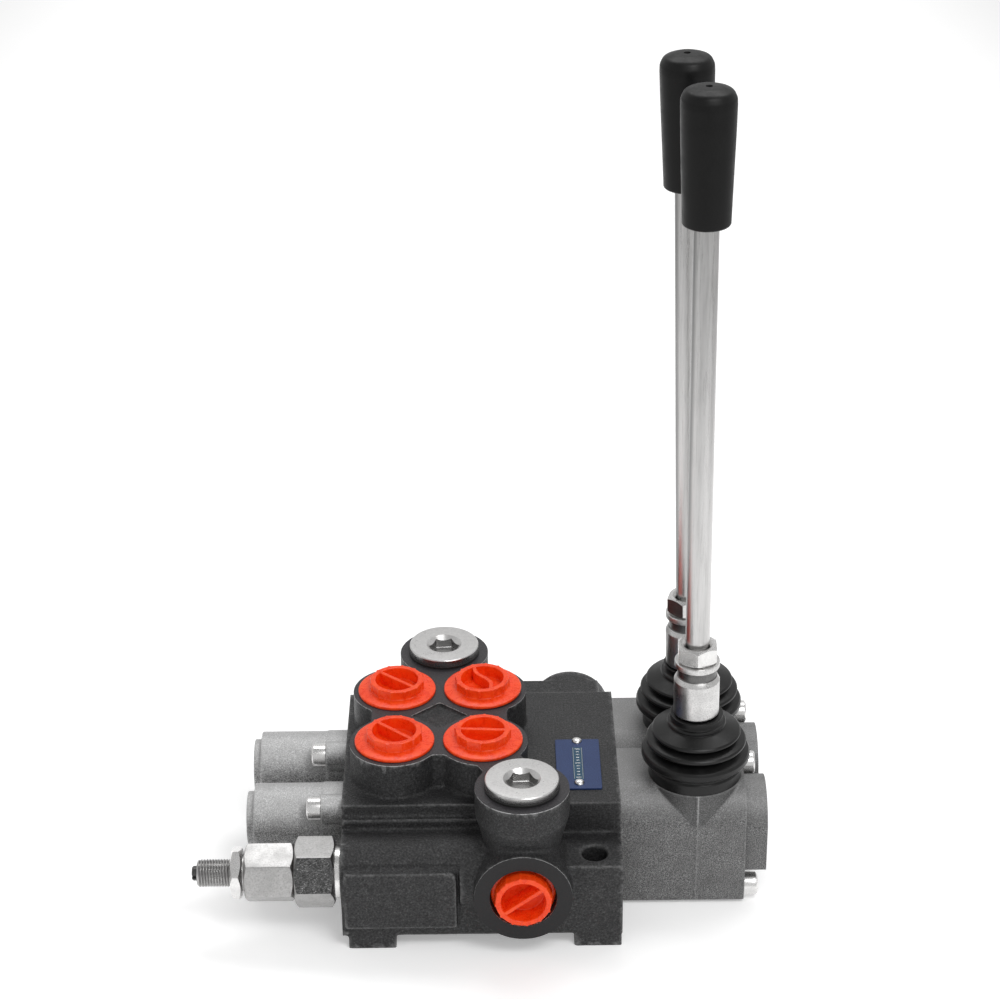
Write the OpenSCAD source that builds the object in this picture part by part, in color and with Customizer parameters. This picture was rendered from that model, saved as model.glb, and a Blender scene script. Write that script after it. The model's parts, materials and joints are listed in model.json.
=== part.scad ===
// Two-section hydraulic directional control valve with hand levers.
// X runs along the spools, towards the levers. Y runs across the sections. Z is up.
// The origin is the centre of the two mounting holes, on the base plane.

/* [Cast block] */
// Length of the block along the spools
body_length = 99; // [80:1:130]
// Height of the flat deck above the base
deck_height = 46.2; // [38:0.1:60]
// Half width of the deck across the sections
deck_half_width = 37.8; // [30:0.1:50]
// Distance from the centre to the lower front and rear faces
block_half_width = 59; // [50:0.5:75]
// Height of the machined port faces
port_face_height = 60; // [50:0.5:80]
// Height of the mounting ledges
ledge_height = 33.8; // [20:0.1:45]
// Clearance under the block between its two feet
foot_height = 5.3; // [2:0.1:12]
// Distance between the spool centre lines
section_pitch = 35; // [30:0.5:50]
// Height of the spool centre lines
spool_height = 27.8; // [20:0.1:40]
// Diameter of the mounting holes
mounting_hole_d = 9; // [5:0.5:14]
// Mounting hole distance from the centre, along X
mounting_x = 39.8; // [20:0.1:60]
// Mounting hole distance from the centre, along Y
mounting_y = 50.4; // [20:0.1:70]

/* [Ports] */
// Distance between the two work ports of a section
port_pitch = 31.7; // [25:0.1:50]
// Middle of the work ports, along X
port_mid_x = -15; // [-30:0.5:10]
// Outer diameter of a work port boss
port_boss_d = 32.2; // [24:0.1:45]
// Bore of a work port
port_bore_d = 16.6; // [10:0.1:26]
// Bore of the inlet and outlet ports
main_bore_d = 21; // [14:0.1:34]
// Outer diameter of the inlet and outlet bosses
gallery_boss_d = 33.2; // [26:0.1:50]
// Height of the inlet and outlet galleries
gallery_height = 25.6; // [15:0.1:40]
// Centre of the inlet gallery plug, along X
inlet_x = 14.4; // [-30:0.1:40]
// Centre of the inlet gallery plug, along Y
inlet_y = -48; // [-60:0.1:-35]
// Centre of the outlet gallery plug, along X
tank_x = -13.7; // [-40:0.1:30]
// Centre of the outlet gallery plug, along Y
tank_y = 45.2; // [35:0.1:60]
// Centre of the outlet side port, along X
outlet_x = 34.4; // [10:0.1:45]

/* [Spools and covers] */
// Spool diameter
spool_d = 14; // [8:0.5:25]
// Spool travel each way
spool_travel = 5.72; // [3:0.01:10]
// Outer diameter of a spring cover
cover_d = 25.4; // [20:0.1:40]
// Distance from the block to the shoulder of a spring cover
cover_length = 32.6; // [20:0.1:60]
// Running clearance on the radius
running_gap = 0.05; // [0.01:0.01:0.1]

/* [Lever controls] */
// Length of a lever housing
housing_length = 45.2; // [30:0.1:70]
// Width of a lever housing
housing_width = 34.6; // [28:0.1:50]
// Distance from the block centre to the lever axis
lever_x = 77.2; // [60:0.1:100]
// Height of the lever pivot
pivot_height = 46; // [35:0.5:60]
// Lever rod diameter
rod_d = 8.6; // [6:0.1:14]
// Height of the underside of the knob
knob_base = 256.5; // [120:0.5:400]
// Knob length
knob_length = 46.5; // [30:0.5:80]
// Rest lean of the front lever, towards the work ports
front_lean = 0.4; // [0:0.1:3]
// Rest lean of the rear lever, towards the work ports
rear_lean = 1.4; // [0:0.1:3]

/* [Relief valve] */
// Across flats of the large hex
relief_big_af = 22; // [17:1:32]
// Across flats of the long hex
relief_long_af = 19; // [13:1:27]
// Across flats of the lock nut
relief_nut_af = 17; // [13:1:24]
// Thread diameter of the adjusting screw
adjuster_d = 9.9; // [6:0.1:14]
// Adjusting screw travel each way
adjuster_travel = 2; // [1:0.1:3]

/* [Build] */
// Sub-part to draw

/* [Hidden] */
$fn = 64;
eps = 0.01;
front_y = -section_pitch / 2;
rear_y = section_pitch / 2;
half_length = body_length / 2;
body_left = -half_length;
body_right = half_length;
port_left = port_mid_x - port_pitch / 2;
port_right = port_mid_x + port_pitch / 2;
port_boss_r = port_boss_d / 2;
gallery_boss_r = gallery_boss_d / 2;
inlet_boss_r = 17.2;
inlet_face_y = -66;
outlet_boss_r = 15;
outlet_face_y = 62;
rear_block_top = 39.5;
bulge_r = 13.2;
bulge_z = 25.4;
pad_left = -48.4;
pad_right = -9;
pad_bottom = 9.8;
pad_top = 33;
pad_y = -61.4;
pad_corner_r = 2.5;
foot_left = -47.4;
foot_width = 16.8;
foot_right = 32.5;
relief_y = inlet_y;
relief_z = bulge_z;
relief_bore_r = 9;
spool_bore_r = spool_d / 2 + running_gap;
gallery_r = 4;
work_passage_r = 5.5;
seal_seat_r = 9.2;
seal_x = 46.2;
thread_m5_r = 2.5;
thread_m5_hole_r = 2.55;
screw_head_r = 4.25;
screw_head_length = 5.2;
cover_screw_offset = 12;
housing_right = body_right + housing_length;
housing_bottom = 1;
housing_top = deck_height;
housing_top_r = 12.5;
housing_back_r = 2.5;
housing_bottom_r = 1.2;
housing_screw_y = 12.2;
housing_screw_low = 5.2;
housing_screw_high = 41.5;
pin_r = 1.9;
pin_blind_end = 13.5;
lever_arm_length = pivot_height - spool_height;
front_shift = lever_arm_length * tan(front_lean);
rear_shift = lever_arm_length * tan(rear_lean);
boot_base = housing_top;
boss_top = 52;
grip_r = 15.3;

// ---------- shared shapes ----------

module x_cylinder(x0, x1, r, y = 0, z = 0) {
    translate([x0, y, z])
        rotate([0, 90, 0])
            cylinder(h = x1 - x0, r = r);
}

module y_cylinder(y0, y1, r, x = 0, z = 0) {
    translate([x, y1, z])
        rotate([90, 0, 0])
            cylinder(h = y1 - y0, r = r);
}

module z_cylinder(z0, z1, r, x = 0, y = 0) {
    translate([x, y, z0])
        cylinder(h = z1 - z0, r = r);
}

module box(x0, x1, y0, y1, z0, z1) {
    translate([x0, y0, z0])
        cube([x1 - x0, y1 - y0, z1 - z0]);
}

// Hexagonal bar along X with both ends turned to a chamfer.
module x_hex(x0, x1, across_flats, turn, chamfer, y, z) {
    length = x1 - x0;
    translate([x0, y, z])
        rotate([0, 90, 0])
            chamfered_hex(length, across_flats, turn, chamfer, 1.7);
}

// Hexagonal prism along Z, its corners turned away at both ends.
module chamfered_hex(length, across_flats, turn, chamfer, slope) {
    corner_r = across_flats / 2 / cos(30);
    outer_r = corner_r + 0.06;
    end_r = corner_r - chamfer * slope;
    intersection() {
        rotate([0, 0, turn])
            cylinder(h = length, r = corner_r, $fn = 6);
        union() {
            cylinder(h = chamfer, r1 = end_r, r2 = outer_r);
            translate([0, 0, chamfer])
                cylinder(h = length - 2 * chamfer, r = outer_r);
            translate([0, 0, length - chamfer])
                cylinder(h = chamfer, r1 = outer_r, r2 = end_r);
        }
    }
}

// Socket-head screw along X: head from the origin towards +X, shank towards -X.
module socket_screw(shank_length) {
    socket_depth = 2.8;
    socket_af = 4;
    edge = 0.5;
    difference() {
        union() {
            cylinder(h = screw_head_length - edge, r = screw_head_r);
            translate([0, 0, screw_head_length - edge])
                cylinder(h = edge, r1 = screw_head_r, r2 = screw_head_r - edge);
            translate([0, 0, -shank_length])
                cylinder(h = shank_length + eps, r = thread_m5_r);
        }
        translate([0, 0, screw_head_length - socket_depth])
            cylinder(h = socket_depth + 1, r = socket_af / 2 / cos(30), $fn = 6);
    }
}

// Round-wire compression spring along Z, with its coils closing up at both ends.
module coil_spring(mean_r, wire_r, length, turns) {
    sides = 8;
    steps_per_turn = 16;
    steps = turns * steps_per_turn;
    rise = length - 2 * wire_r;
    closing = 0.7;
    lead = atan(rise / turns / (2 * PI * mean_r));
    function height_at(u) = wire_r + rise * (u - closing * sin(360 * u) / (2 * PI));
    points = [for (i = [0:steps]) for (j = [0:sides - 1])
        let (u = i / steps, t = 360 * turns * u, a = 360 * j / sides,
            out = wire_r * cos(a), up = wire_r * sin(a))
        [(mean_r + out) * cos(t) + up * sin(lead) * sin(t),
            (mean_r + out) * sin(t) - up * sin(lead) * cos(t),
            height_at(u) + up * cos(lead)]];
    walls = [for (i = [0:steps - 1]) for (j = [0:sides - 1])
        let (a = i * sides + j, b = i * sides + (j + 1) % sides)
        [a, a + sides, b + sides, b]];
    start = [for (j = [0:sides - 1]) j];
    finish = [for (j = [sides - 1:-1:0]) steps * sides + j];
    polyhedron(points = points, faces = concat(walls, [start, finish]), convexity = 8);
}

// ---------- cast block ----------

module deck_block() {
    box(body_left, body_right, -deck_half_width, deck_half_width, foot_height, deck_height);
}

module front_block() {
    step_y = -40;
    step_z = 41.4;
    box(body_left, body_right, -block_half_width, -deck_half_width + 1, foot_height, relief_z);
    box(inlet_x, body_right, -block_half_width, -deck_half_width + 1, foot_height, ledge_height);
    box(body_left, inlet_x, step_y, -deck_half_width + 1, foot_height, step_z);
    box(body_left, inlet_x, relief_y, -deck_half_width + 1, foot_height, relief_z + bulge_r - 1.2);
    x_cylinder(body_left, inlet_x, bulge_r, relief_y, relief_z);
}

module front_pad() {
    depth = 14;
    inset = pad_corner_r;
    y1 = pad_y + depth;
    box(pad_left, pad_right - inset, pad_y, y1, pad_bottom, pad_top);
    box(pad_left, pad_right, pad_y, y1, pad_bottom, pad_top - inset);
    y_cylinder(pad_y, y1, inset, pad_right - inset, pad_top - inset);
}

module pad_groove() {
    height = 2.6;
    width = 1.2;
    depth = 4;
    box(pad_left - 2, pad_right + width, pad_y - 1, pad_y + depth, pad_top, pad_top + height);
    box(pad_right, pad_right + width, pad_y - 1, pad_y + depth - 1, pad_bottom, pad_top + height);
}

module rear_block() {
    rear_y1 = block_half_width - 1;
    ledge_right = -31;
    box(ledge_right, body_right - 4, deck_half_width - 1, rear_y1, foot_height, rear_block_top);
    box(body_left, body_right, deck_half_width - 1, rear_y1, foot_height, ledge_height);
}

module feet() {
    for (x = [foot_left, foot_right])
        box(x, x + foot_width, -block_half_width, block_half_width - 1, 0, foot_height + 1);
}

// Vertical boss of the inlet gallery, drawn in towards the side port below it.
module inlet_boss() {
    cone_top = 50;
    cone_bottom = 38;
    waist_r = 13.4;
    z_cylinder(cone_top, port_face_height, gallery_boss_r, inlet_x, inlet_y);
    translate([inlet_x, inlet_y, cone_bottom])
        cylinder(h = cone_top - cone_bottom, r1 = waist_r, r2 = gallery_boss_r);
    z_cylinder(foot_height, cone_bottom, waist_r - 1, inlet_x, inlet_y + 2);
    y_cylinder(inlet_face_y, inlet_y + 6, inlet_boss_r, inlet_x, gallery_height);
}

module tank_boss() {
    z_cylinder(foot_height, port_face_height, gallery_boss_r, tank_x, tank_y);
    y_cylinder(deck_half_width - 4, outlet_face_y, outlet_boss_r, outlet_x, gallery_height);
}

module port_bosses() {
    web_inset = 8.8;
    root = deck_height - 8;
    for (x = [port_left, port_right])
        for (y = [front_y, rear_y])
            z_cylinder(root, port_face_height, port_boss_r, x, y);
    box(port_left - web_inset, port_right + web_inset, front_y - web_inset, rear_y + web_inset,
        root, port_face_height);
    // web from the right front port to the inlet boss
    link_x = inlet_x - port_right;
    link_y = inlet_y - front_y;
    link_length = norm([link_x, link_y]);
    translate([port_right, front_y, root])
        rotate([0, 0, atan2(link_y, link_x)])
            translate([0, -web_inset + 0.6, 0])
                cube([link_length, 2 * web_inset - 1.2, port_face_height - root]);
    // web from the rear ports to the tank boss
    box(tank_x - web_inset, tank_x + web_inset, rear_y, tank_y, root, port_face_height);
}

module body_solid() {
    deck_block();
    difference() {
        union() {
            front_block();
            front_pad();
        }
        pad_groove();
    }
    front_pad();
    rear_block();
    feet();
    inlet_boss();
    tank_boss();
    port_bosses();
}

// Shallow cast pocket between the four work ports.
module centre_pocket() {
    depth = 1.6;
    half_width = 10.4;
    translate([port_mid_x, 0, port_face_height - depth])
        scale([1, 0.87, 1])
            cylinder(h = depth + 1, r = half_width, $fn = 4);
}

module body_edges() {
    taper_top = 18.8;
    taper_in = 2.1;
    translate([body_left, -block_half_width - 10, taper_top])
        rotate([0, atan2(taper_in, taper_top - foot_height - 3.4), 0])
            translate([-20, 0, -40])
                cube([20, 2 * block_half_width + 20, 40]);
}

module work_passages() {
    plug_depth = 14;
    for (x = [port_left, port_right])
        for (y = [front_y, rear_y]) {
            z_cylinder(port_face_height - plug_depth, port_face_height + 1, port_bore_d / 2, x, y);
            z_cylinder(spool_height, port_face_height, work_passage_r, x, y);
        }
}

module spool_passages() {
    groove_r = 9.6;
    groove_half = 2.6;
    tank_groove_left = -41;
    tank_groove_right = 12;
    for (y = [front_y, rear_y]) {
        x_cylinder(body_left - 1, body_right + 1, spool_bore_r, y, spool_height);
        for (x = [tank_groove_left, port_left, port_mid_x, port_right, tank_groove_right])
            x_cylinder(x - groove_half, x + groove_half, groove_r, y, spool_height);
        for (s = [-1, 1])
            x_cylinder(s * seal_x - 1.5, s * seal_x + 1.5, seal_seat_r, y, spool_height);
    }
    // pressure gallery across both sections, and the tank galleries either side of it
    y_cylinder(relief_y, rear_y, gallery_r, port_mid_x, relief_z);
    for (x = [tank_groove_left, tank_groove_right])
        y_cylinder(front_y, tank_y, gallery_r, x, gallery_height);
    x_cylinder(tank_groove_left, outlet_x, gallery_r + 1, tank_y, gallery_height);
}

module main_ports() {
    plug_depth = 14;
    mouth_r = 11.8;
    mouth_depth = 4.6;
    // inlet: top plug bore, check valve bore and side port
    z_cylinder(port_face_height - plug_depth, port_face_height + 1, main_bore_d / 2, inlet_x, inlet_y);
    z_cylinder(34, port_face_height, 7, inlet_x, inlet_y);
    z_cylinder(gallery_height, port_face_height, 4.5, inlet_x, inlet_y);
    y_cylinder(inlet_face_y - 1, inlet_face_y + plug_depth, main_bore_d / 2, inlet_x, gallery_height);
    y_cylinder(inlet_face_y - 1, inlet_face_y + mouth_depth, mouth_r, inlet_x, gallery_height);
    y_cylinder(inlet_face_y, inlet_y, work_passage_r, inlet_x, gallery_height);
    // tank: top plug bore and side port
    z_cylinder(port_face_height - plug_depth, port_face_height + 1, main_bore_d / 2, tank_x, tank_y);
    z_cylinder(gallery_height, port_face_height, work_passage_r + 1, tank_x, tank_y);
    y_cylinder(outlet_face_y - plug_depth, outlet_face_y + 1, main_bore_d / 2, outlet_x, gallery_height);
    y_cylinder(outlet_face_y - mouth_depth, outlet_face_y + 1, mouth_r, outlet_x, gallery_height);
    y_cylinder(tank_y, outlet_face_y, work_passage_r, outlet_x, gallery_height);
}

module relief_bore() {
    stem_end = -33.5;
    x_cylinder(body_left - 1, stem_end, relief_bore_r, relief_y, relief_z);
    x_cylinder(stem_end - 1, inlet_x, 5, relief_y, relief_z);
}

module screw_holes() {
    depth = 12;
    for (y = [front_y, rear_y]) {
        for (s = [-1, 1]) {
            x_cylinder(body_left - 1, body_left + depth, thread_m5_hole_r,
                y - s * cover_screw_offset, spool_height + s * cover_screw_offset);
        }
        x_cylinder(body_right - depth, body_right + 1, thread_m5_hole_r,
            y - housing_screw_y, housing_screw_low);
        x_cylinder(body_right - depth, body_right + 1, thread_m5_hole_r,
            y + housing_screw_y, housing_screw_high);
    }
}

module mounting_holes() {
    chamfer = 0.7;
    hole_r = mounting_hole_d / 2;
    for (s = [-1, 1])
        translate([s * mounting_x, -s * mounting_y, 0]) {
            translate([0, 0, -1])
                cylinder(h = ledge_height + 2, r = hole_r);
            translate([0, 0, ledge_height - chamfer])
                cylinder(h = chamfer + eps, r1 = hole_r, r2 = hole_r + chamfer);
            translate([0, 0, ledge_height])
                cylinder(h = 20, r = hole_r + chamfer);
        }
}

module rivet_holes() {
    for (y = [2, -25.6])
        z_cylinder(deck_height - 4, deck_height + 1, 1, 35.2, y);
}

module valve_body() {
    color([0.16, 0.16, 0.17])
        difference() {
            body_solid();
            centre_pocket();
            body_edges();
            work_passages();
            spool_passages();
            main_ports();
            relief_bore();
            screw_holes();
            mounting_holes();
            rivet_holes();
        }
}

// ---------- plastic port plugs ----------

// Press-in plug along Z from its seat: flange, ribbed grip ring, grip bar and hollow stem.
module port_plug(flange_r, stem_r, stem_length, ring_height, bar_angle) {
    flange_t = 1.4;
    ring_r = 9.85;
    ring_wall = 2;
    stem_wall = 1.5;
    bar_width = 1.6;
    rib_count = 12;
    top = flange_t + ring_height;
    inner_r = ring_r - ring_wall;
    color([1, 0.22, 0.08])
        difference() {
            union() {
                cylinder(h = flange_t, r = flange_r);
                cylinder(h = top, r = ring_r);
                translate([0, 0, -stem_length])
                    cylinder(h = stem_length + eps, r = stem_r);
                for (i = [0:rib_count - 1])
                    rotate([0, 0, 360 / rib_count * (i + 0.5)])
                        translate([ring_r - 0.5, -0.35, 0])
                            cube([1, 0.7, top - 0.6]);
            }
            difference() {
                translate([0, 0, flange_t - 1])
                    cylinder(h = top, r = inner_r);
                rotate([0, 0, bar_angle])
                    translate([-inner_r - 1, -bar_width / 2, flange_t - 2])
                        cube([2 * inner_r + 2, bar_width, ring_height + 2]);
            }
            translate([0, 0, -stem_length - 1])
                cylinder(h = stem_length, r = stem_r - stem_wall);
        }
}

module work_plug(x, y, bar_angle) {
    translate([x, y, port_face_height])
        port_plug(14.3, port_bore_d / 2 - 0.1, 8, 3.7, bar_angle);
}

module front_left_port_plug() {
    work_plug(port_left, front_y, -43);
}

module front_right_port_plug() {
    work_plug(port_right, front_y, -4);
}

module rear_left_port_plug() {
    work_plug(port_left, rear_y, -41);
}

module rear_right_port_plug() {
    work_plug(port_right, rear_y, -68);
}

module side_plug(bar_angle) {
    port_plug(11.4, main_bore_d / 2 - 0.1, 5, 5.7, bar_angle);
}

module inlet_port_plug() {
    sunk = 4.55;
    translate([inlet_x, inlet_face_y + sunk, gallery_height])
        rotate([90, 0, 0])
            side_plug(37);
}

module outlet_port_plug() {
    sunk = 4.55;
    translate([outlet_x, outlet_face_y - sunk, gallery_height])
        rotate([-90, 0, 0])
            side_plug(20);
}

// ---------- steel gallery plugs ----------

module gallery_plug(x, y) {
    seal_t = 1.2;
    flange_t = 2.5;
    edge = 0.4;
    flange_r = 13;
    stem_length = 11;
    socket_af = 10;
    socket_depth = 7;
    mouth_r = 6.6;
    mouth_depth = 1.6;
    translate([x, y, port_face_height + seal_t])
        difference() {
            union() {
                cylinder(h = flange_t - edge, r = flange_r);
                translate([0, 0, flange_t - edge])
                    cylinder(h = edge, r1 = flange_r, r2 = flange_r - edge);
                translate([0, 0, -stem_length - seal_t])
                    cylinder(h = stem_length + seal_t + eps, r = main_bore_d / 2 - 0.1);
            }
            translate([0, 0, flange_t - socket_depth])
                cylinder(h = socket_depth + 1, r = socket_af / 2 / cos(30), $fn = 6);
            translate([0, 0, flange_t - mouth_depth])
                cylinder(h = mouth_depth + eps, r1 = socket_af / 2, r2 = mouth_r);
            translate([0, 0, -stem_length - seal_t - 1])
                cylinder(h = 5, r = 7);
        }
}

module gallery_plugs() {
    color([0.78, 0.78, 0.76]) {
        gallery_plug(inlet_x, inlet_y);
        gallery_plug(tank_x, tank_y);
    }
}

module gallery_seals() {
    color([0.08, 0.08, 0.08])
        for (p = [[inlet_x, inlet_y], [tank_x, tank_y]])
            translate([p[0], p[1], port_face_height])
                difference() {
                    cylinder(h = 1.2, r = 13.2);
                    translate([0, 0, -1])
                        cylinder(h = 4, r = main_bore_d / 2);
                }
}

// ---------- relief valve ----------

module relief_seal() {
    color([0.82, 0.82, 0.8])
        difference() {
            x_cylinder(body_left - 2.4, body_left, 9.6, relief_y, relief_z);
            x_cylinder(body_left - 4, body_left + 1, 9, relief_y, relief_z);
        }
}

module relief_body() {
    hex_left = -65.9;
    hex_right = body_left - 2.4;
    stem_end = -34;
    bore_r = 6.05;
    color([0.68, 0.68, 0.66])
        difference() {
            union() {
                x_hex(hex_left, hex_right, relief_big_af, 32.5, 1, relief_y, relief_z);
                x_cylinder(hex_right - 1, stem_end, relief_bore_r - 0.1, relief_y, relief_z);
            }
            x_cylinder(hex_left - 1, stem_end + 1, bore_r, relief_y, relief_z);
            y_cylinder(relief_y - 10, relief_y + 10, 1.6, -43.6, relief_z);
        }
}

module relief_seat() {
    color([0.6, 0.6, 0.6])
        difference() {
            x_cylinder(-38, -34, 6.02, relief_y, relief_z);
            x_cylinder(-39, -33, 3.2, relief_y, relief_z);
        }
}

module relief_poppet() {
    color([0.62, 0.62, 0.62])
        translate([0, relief_y, relief_z])
            rotate([0, 90, 0]) {
                translate([0, 0, -53])
                    cylinder(h = 11, r = 6);
                translate([0, 0, -42])
                    cylinder(h = 3.7, r1 = 5, r2 = 2.9);
                translate([0, 0, -57])
                    cylinder(h = 4 + eps, r = 3);
            }
}

module relief_spring() {
    color([0.5, 0.5, 0.52])
        translate([-74.9, relief_y, relief_z])
            rotate([0, 90, 0])
                coil_spring(4.4, 0.6, 21.8, 8);
}

module relief_cartridge() {
    left = -83.7;
    right = -66;
    color([0.68, 0.68, 0.66])
        difference() {
            union() {
                x_hex(left, right, relief_long_af, 46, 1.2, relief_y, relief_z);
                x_cylinder(left - 0.9, left + 1.5, 6.5, relief_y, relief_z);
            }
            x_cylinder(-80.6, right + 1, 6, relief_y, relief_z);
            x_cylinder(left - 2, right, adjuster_d / 2 + running_gap, relief_y, relief_z);
        }
}

module relief_lock_nut() {
    left = -88.5;
    right = -84.65;
    color([0.8, 0.8, 0.78])
        difference() {
            x_hex(left, right, relief_nut_af, 6, 0.8, relief_y, relief_z);
            x_cylinder(left - 1, right + 1, adjuster_d / 2 + running_gap, relief_y, relief_z);
        }
}

module relief_adjuster() {
    stud_left = -100.6;
    tip_left = -102.5;
    slot_width = 1.2;
    color([0.45, 0.45, 0.45])
        difference() {
            union() {
                x_cylinder(stud_left, -78, adjuster_d / 2, relief_y, relief_z);
                x_cylinder(tip_left, stud_left + 1, 2.6, relief_y, relief_z);
                x_cylinder(-78.2, -75, 5.6, relief_y, relief_z);
            }
            translate([tip_left - 1, relief_y - 5, relief_z - slot_width / 2])
                cube([2.2, 10, slot_width]);
        }
}

// ---------- check valve under the inlet plug ----------

module check_seat() {
    color([0.6, 0.6, 0.6])
        difference() {
            z_cylinder(34, 36.4, 6.98, inlet_x, inlet_y);
            z_cylinder(33, 38, 4.5, inlet_x, inlet_y);
        }
}

module check_poppet() {
    color([0.62, 0.62, 0.62])
        translate([inlet_x, inlet_y, 0])
            difference() {
                union() {
                    translate([0, 0, 35])
                        cylinder(h = 2, r1 = 3.4, r2 = 4.4);
                    translate([0, 0, 36.45])
                        cylinder(h = 8.5, r = 7 - running_gap);
                }
                translate([0, 0, 39])
                    cylinder(h = 8, r = 4.6);
            }
}

module check_spring() {
    color([0.5, 0.5, 0.52])
        translate([inlet_x, inlet_y, 39.05])
            coil_spring(3.6, 0.5, 13.8, 6);
}

// ---------- spools and centring ----------

module spool_seals() {
    wall = seal_seat_r - spool_bore_r - 0.1;
    color([0.1, 0.1, 0.1])
        for (y = [front_y, rear_y])
            for (s = [-1, 1])
                difference() {
                    x_cylinder(s * seal_x - 1.4, s * seal_x + 1.4, spool_bore_r + wall, y, spool_height);
                    x_cylinder(s * seal_x - 3, s * seal_x + 3, spool_bore_r, y, spool_height);
                }
}

// Spool with metering lands, a threaded left end and an eye for the lever at the right.
module spool(y, shift) {
    left = -55.9;
    tongue_left = 67;
    tongue_right = 84;
    tongue_half = 3;
    eye_r = 4.05;
    r = spool_d / 2;
    waist_r = 4.6;
    translate([shift, y, spool_height])
        color([0.75, 0.75, 0.76])
            difference() {
                union() {
                    x_cylinder(body_left + 1, tongue_left, r);
                    x_cylinder(left, body_left + 1.1, 5.5);
                    intersection() {
                        x_cylinder(tongue_left - 1, tongue_right, r);
                        box(tongue_left - 1, tongue_right, -r, r, -tongue_half, tongue_half);
                    }
                }
                for (x = [port_left + 5.6, port_right - 5.6, port_left - 5.2])
                    difference() {
                        x_cylinder(x - 2.2, x + 2.2, r + 1);
                        x_cylinder(x - 3, x + 3, waist_r);
                    }
                translate([lever_x, 0, -r - 1])
                    cylinder(h = 2 * r + 2, r = eye_r);
                x_cylinder(left - 1, left + 12, 2.6);
            }
}

module front_spool() {
    spool(front_y, front_shift);
}

module rear_spool() {
    spool(rear_y, rear_shift);
}

module spring_cup(y, shift) {
    translate([shift, y, spool_height])
        color([0.7, 0.7, 0.7])
            difference() {
                union() {
                    x_cylinder(-57.9, -55.95, 9.8);
                    x_cylinder(-60.5, -57.8, 6.9);
                }
                x_cylinder(-61.5, -54, 2.6);
            }
}

module front_spring_cup() {
    spring_cup(front_y, front_shift);
}

module rear_spring_cup() {
    spring_cup(rear_y, rear_shift);
}

module spool_bolt(y, shift) {
    translate([shift, y, spool_height])
        color([0.55, 0.55, 0.56]) {
            x_cylinder(-60.7, -45, 2.5);
            x_hex(-64.5, -60.6, 8, 0, 0.4, 0, 0);
        }
}

module front_spool_bolt() {
    spool_bolt(front_y, front_shift);
}

module rear_spool_bolt() {
    spool_bolt(rear_y, rear_shift);
}

module centring_spring(y, shift) {
    left = -78.4;
    length = -58 - left + shift;
    color([0.5, 0.5, 0.52])
        translate([left, y, spool_height])
            rotate([0, 90, 0])
                coil_spring(8.2, 0.9, length, 5);
}

module front_centring_spring() {
    centring_spring(front_y, front_shift);
}

module rear_centring_spring() {
    centring_spring(rear_y, rear_shift);
}

module stop_rings() {
    color([0.6, 0.6, 0.6])
        for (y = [front_y, rear_y])
            difference() {
                x_cylinder(-80.4, -78.5, 10.1, y, spool_height);
                x_cylinder(-82, -77, 6, y, spool_height);
            }
}

// Cast spring cover: flange with two screw lobes, barrel and a stepped end.
module spring_cover(y) {
    flange_t = 7.8;
    flange_r = 13;
    lobe_r = 5.1;
    bridge_half = 4.6;
    bridge_inset = 0.3;
    barrel_end = body_left - cover_length;
    end_left = -84.8;
    end_r = 9.9;
    bore_r = 10.3;
    diagonal = cover_screw_offset * sqrt(2);
    color([0.55, 0.55, 0.55])
        translate([0, y, spool_height])
            difference() {
                union() {
                    x_cylinder(barrel_end, body_left, cover_d / 2);
                    x_cylinder(end_left, barrel_end + 1, end_r);
                    x_cylinder(body_left - flange_t, body_left, flange_r);
                    for (s = [-1, 1])
                        x_cylinder(body_left - flange_t, body_left, lobe_r,
                            -s * cover_screw_offset, s * cover_screw_offset);
                    translate([body_left - flange_t + bridge_inset, 0, 0])
                        rotate([45, 0, 0])
                            translate([0, -bridge_half, -diagonal + 1])
                                cube([flange_t - 2 * bridge_inset, 2 * bridge_half, 2 * diagonal - 2]);
                }
                x_cylinder(-80.5, body_left + 1, bore_r);
                for (s = [-1, 1])
                    x_cylinder(body_left - flange_t - 1, body_left + 1, thread_m5_hole_r + 0.2,
                        -s * cover_screw_offset, s * cover_screw_offset);
            }
}

module front_spring_cover() {
    spring_cover(front_y);
}

module rear_spring_cover() {
    spring_cover(rear_y);
}

module cover_screws() {
    flange_t = 7.8;
    color([0.8, 0.8, 0.8])
        for (y = [front_y, rear_y])
            for (s = [-1, 1])
                translate([body_left - flange_t, y - s * cover_screw_offset,
                    spool_height + s * cover_screw_offset])
                    rotate([0, -90, 0])
                        socket_screw(17);
}

// ---------- lever housings ----------

module housing_block() {
    half = housing_width / 2;
    x0 = body_right;
    x1 = housing_right;
    shoulder_y = half - housing_top_r;
    shoulder_z = housing_top - housing_top_r;
    back_y = half - housing_back_r;
    back_z = housing_top - housing_back_r;
    low_y = half - housing_bottom_r;
    low_z = housing_bottom + housing_bottom_r;
    box(x0, x1, -half, half, low_z, shoulder_z);
    box(x0, x1, 0, half, low_z, back_z);
    box(x0, x1, -shoulder_y, back_y, housing_bottom, housing_top);
    box(x0, x1, -low_y, low_y, housing_bottom, low_z + 1);
    x_cylinder(x0, x1, housing_top_r, -shoulder_y, shoulder_z);
    x_cylinder(x0, x1, housing_back_r, back_y, back_z);
    for (s = [-1, 1])
        x_cylinder(x0, x1, housing_bottom_r, s * low_y, low_z);
}

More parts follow.
